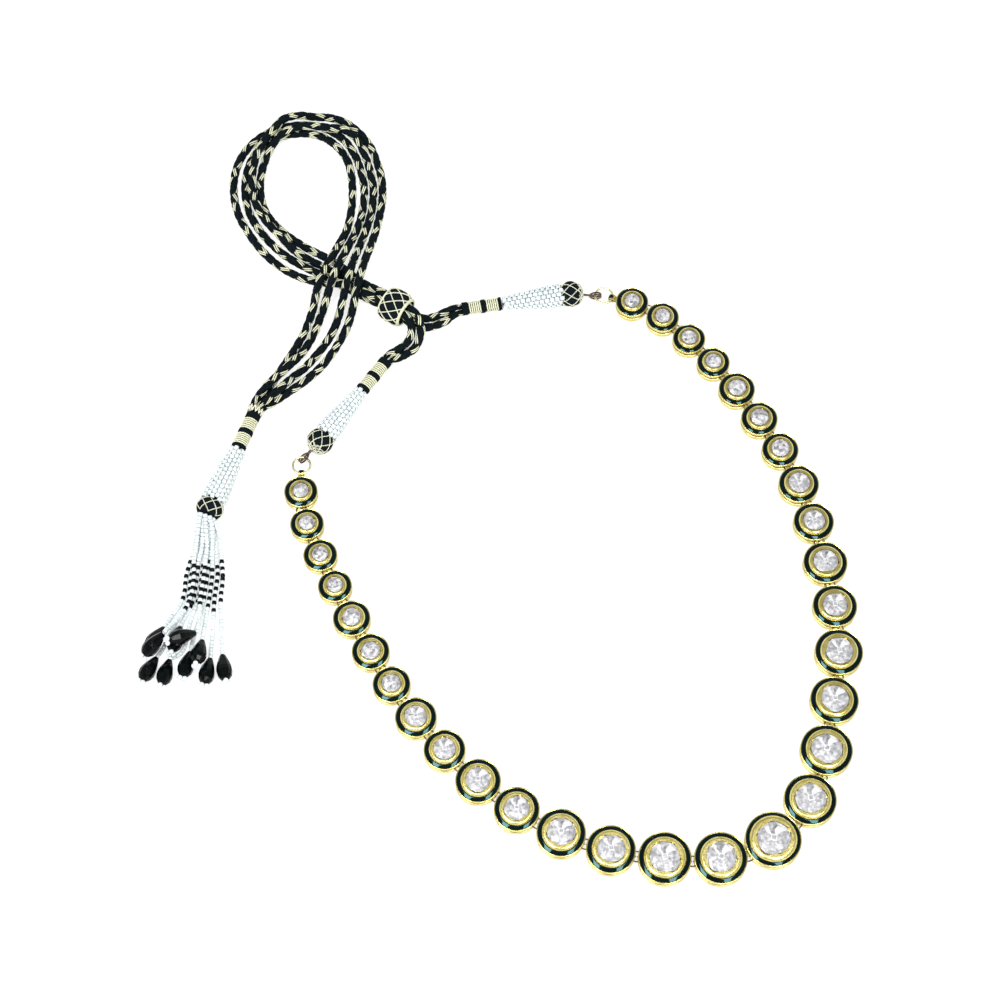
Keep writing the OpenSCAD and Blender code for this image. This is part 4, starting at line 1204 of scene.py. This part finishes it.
class NECKLACE_OT_wraps(Operator):
    """Winds the thread wraps in gold and black over the cords' ends."""

    bl_idname = "necklace.wraps"
    bl_label = "Thread wraps"

    def execute(self, context):
        for end in CORD_ENDS.values():
            self.wrap(end)
        self.crown(end_place(CORD_ENDS["tassel"]), CORD_ENDS["tassel"]["wrap"] / 2)
        return {"FINISHED"}

    def wrap(self, end):
        """Winds gold bands between black ones. The last black one runs on over the cords.

        Each thread's pitch is a multiple of its half size.
        """
        place, node, radius = end_place(end), end["nodes"][2], end["wrap"] / 2
        long = WRAP_STOP - WRAP_START
        first, second = [(WRAP_START + a * long, WRAP_START + b * long) for a, b in GOLD_BANDS]
        gold, black = Shape(), Shape()
        for start, stop in (first, second):
            wound = wound_path(place, start, stop, 2.5 * GOLD_HALF, radius + BAND_PROUD - GOLD_HALF)
            gold.tube(wound, GOLD_HALF)
        for start, stop in ((WRAP_START, first[0]), (first[1], second[0])):
            wound = wound_path(place, start + 0.1, stop - 0.1, 2 * BLACK_HALF, radius - 0.1)
            black.tube(wound, BLACK_HALF + 0.04)
        black.tube(wound_path(place, second[1] + 0.15, NECK, 1.7 * BLACK_HALF, radius - 0.12), BLACK_HALF)
        black.lathe(place, [(WRAP_START + 0.1, radius - 0.25), (WRAP_STOP, radius - 0.25)], 32, tone=1.0)
        gold.piece(node + "_gold", shared("gold_thread"), "gold_thread", replaces=(node,))
        black.piece(node + "_black", shared("black_thread"), "black_thread")

    def crown(self, place, radius):
        """Makes a zigzag of pale thread where the four cords leave the tassel's wrap."""
        zigzags, points, thick, reach = 12, 8, 0.2, 1.9
        t = np.linspace(0, 1, zigzags * points + 1)[:-1]
        angle = 2 * math.pi * t
        x = NECK + 0.1 + reach * np.abs(((zigzags * t) % 1) * 2 - 1)
        wide, high, y, z = bundle_section(place, x, NECK - 0.5, NECK + 2.0, radius)
        y, z = y + (wide + 0.02) * np.cos(angle), z + (high + 0.02) * np.sin(angle)
        path = place.out(np.stack([x, y, z], axis=-1))
        path[:, 2] = np.maximum(path[:, 2], thick)
        shape = Shape()
        shape.tube(path, thick, loop=True)
        shape.piece("tassel_wrap_zigzag", shared("pale_thread"), "gold_thread")


class NECKLACE_OT_slider(Operator):
    """Weaves the slider: a black barrel, a pale lattice and two gold rims."""

    bl_idname = "necklace.slider"
    bl_label = "Slider"

    def execute(self, context):
        place = Place(SLIDER_CENTRE, SLIDER_HEADING)
        barrel, net, rims = Shape(), Shape(), Shape()
        x, radius = self.surface(np.linspace(-1, 1, 17), 0.16)
        edge, flare, lip = SLIDER_HALF - 0.15, SLIDER_BORE + 0.3, radius[-1] - 0.3
        bore = [(edge - 0.1, lip), (edge, flare), (edge - 0.4, SLIDER_BORE)]
        bore += [(-along, across) for along, across in reversed(bore)]
        profile = list(zip(x, radius)) + bore
        barrel.lathe(place, profile, 4 * SLIDER_RIDGES, SLIDER_RIDGES, RIDGE_HEIGHT, closed=True)
        lattice(net, place, lambda t: self.surface(0.93 * t, 0.1), count=9, advance=66, radius=0.16)
        ring = np.linspace(0, 2 * math.pi, 65)[:-1]
        for way in (1, -1):
            for x, radius, half in SLIDER_RIMS:
                rims.tube(place.around(way * x, radius, ring), half, loop=True)
        barrel.piece("slider_barrel", shared("black_thread"), "black_thread", replaces=("slider",))
        net.piece("slider_lattice", shared("pale_thread"), "gold_thread")
        rims.piece("slider_rims", shared("gold_thread"), "gold_thread")
        return {"FINISHED"}

    def surface(self, t, under):
        """Distance along and radius, so far under the slider's outline, for t from -1 to 1."""
        x = 0.95 * SLIDER_HALF * np.sin(SLIDER_ARC * t) / math.sin(SLIDER_ARC)
        return x, SLIDER_RADIUS - SLIDER_BULGE * (1 - np.cos(SLIDER_ARC * t)) - under


# The tassel

# The stretch with black beads begins at a y of the frame between the first two, and is as long as one
# between the last two.
BLACK_FROM, BLACK_LONG = (79.6, 82.8), (11.5, 14.5)
# A tiny pearl's radius, and how far its centre lies beyond a drop's tip and from the drop's axis
PEARL_RADIUS, PEARL_AHEAD, PEARL_ASIDE = 0.72, 0.62, 0.84


class NECKLACE_OT_strings(Operator):
    """Strings the seed beads of the tassel: white, with a stretch where every other bead is black."""

    bl_idname = "necklace.strings"
    bl_label = "Bead strings"

    def execute(self, context):
        settings = context.scene.necklace_beads
        draw = random.Random(5)
        pitch, radius = settings.string_pitch / MM, settings.string_bead / MM / 2
        rows = bead_rows(radius, pitch * 1.02, 0.3)
        white, black, thread = Shape(), Shape(), Shape()
        for string in STRINGS:
            path = smooth_path(string, pitch)
            first = draw.uniform(*BLACK_FROM)
            last = first - draw.uniform(*BLACK_LONG)
            for centre, axis in zip(path, np.gradient(path, axis=0)):
                dark = last < centre[1] < first and int((first - centre[1]) / pitch) % 2 == 0
                shift = np.array([draw.uniform(-0.05, 0.05) for _ in range(3)])
                centre = centre + shift
                centre[2] = max(centre[2], radius)
                add_bead(black if dark else white, centre, axis + 0.2 * shift, rows, draw.random())
            thread.tube(smooth_path(string, 1.0), 0.22)
        white.piece(
            "tassel_beads_white", shared("white_bead"), "white_bead", replaces=("tassel_strings",))
        black.piece("tassel_beads_black", shared("black_stone"), "black_stone")
        thread.piece("tassel_string_threads", shared("gold_thread"), "pale_thread")
        return {"FINISHED"}


class NECKLACE_OT_drops(Operator):
    """Finishes the black drops and sets three tiny pearls at each drop's tip."""

    bl_idname = "necklace.drops"
    bl_label = "Drops and pearls"

    def execute(self, context):
        settings = context.scene.necklace_beads
        dress("tassel_drops", shared("black_stone"))
        dress("tassel_threads", shared("white_bead"))
        draw = random.Random(3)
        shape = Shape()
        latitudes = np.radians(np.linspace(-80, 80, 9))
        rows = [(PEARL_RADIUS * math.sin(a), PEARL_RADIUS * math.cos(a)) for a in latitudes]
        for narrow, towards in DROPS:
            ahead = unit(np.subtract(towards, narrow))
            side = unit(np.cross(ahead, (0, 0, 1)))
            up = np.cross(side, ahead)
            tip = np.array(narrow) + (DROP_LENGTH + PEARL_AHEAD) * ahead
            roll = draw.uniform(0, 2)
            for k in range(settings.pearls):
                angle = roll + 2 * math.pi * k / settings.pearls
                centre = tip + PEARL_ASIDE * (math.cos(angle) * side + math.sin(angle) * up)
                centre[2] = max(centre[2], PEARL_RADIUS)
                add_bead(shape, centre, ahead, rows, 0.5 * draw.random(), segments=14)
        shape.piece("tassel_pearls", shared("white_bead"), "white_bead")
        return {"FINISHED"}


class NECKLACE_PT_makers(Panel):
    """Lists the makers of the necklace's pieces."""

    bl_idname = "NECKLACE_PT_makers"
    bl_label = "Kundan necklace"
    bl_space_type = "VIEW_3D"
    bl_region_type = "UI"
    bl_category = "Necklace"

    def draw(self, context):
        for maker in MAKERS:
            self.layout.operator(maker.bl_idname)
        for group in SETTINGS:
            box = self.layout.box()
            values = getattr(context.scene, group)
            for name in SETTINGS[group].__annotations__:
                box.prop(values, name)


SETTINGS = {
    "necklace_stage": StageSettings,
    "necklace_cords": CordSettings,
    "necklace_threads": ThreadSettings,
    "necklace_beads": BeadSettings,
    "necklace_metals": MetalSettings,
}
MAKERS = (
    NECKLACE_OT_stage,
    NECKLACE_OT_cords,
    NECKLACE_OT_bezels,
    NECKLACE_OT_fittings,
    NECKLACE_OT_stones,
    NECKLACE_OT_balls,
    NECKLACE_OT_sleeves,
    NECKLACE_OT_wraps,
    NECKLACE_OT_slider,
    NECKLACE_OT_strings,
    NECKLACE_OT_drops,
)
CLASSES = (*SETTINGS.values(), *MAKERS, NECKLACE_PT_makers)


def register():
    """Registers the classes and puts the settings on the scene."""
    for cls in CLASSES:
        bpy.utils.register_class(cls)
    for name, group in SETTINGS.items():
        setattr(bpy.types.Scene, name, PointerProperty(type=group))


def unregister():
    """Undoes register."""
    for name in SETTINGS:
        delattr(bpy.types.Scene, name)
    for cls in reversed(CLASSES):
        bpy.utils.unregister_class(cls)


def main():
    """Makes the whole scene."""
    register()
    bpy.ops.necklace.stage()
    bpy.ops.necklace.cords()
    bpy.ops.necklace.bezels()
    bpy.ops.necklace.fittings()
    bpy.ops.necklace.stones()
    bpy.ops.necklace.balls()
    bpy.ops.necklace.sleeves()
    bpy.ops.necklace.wraps()
    bpy.ops.necklace.slider()
    bpy.ops.necklace.strings()
    bpy.ops.necklace.drops()


if __name__ == "__main__":
    main()
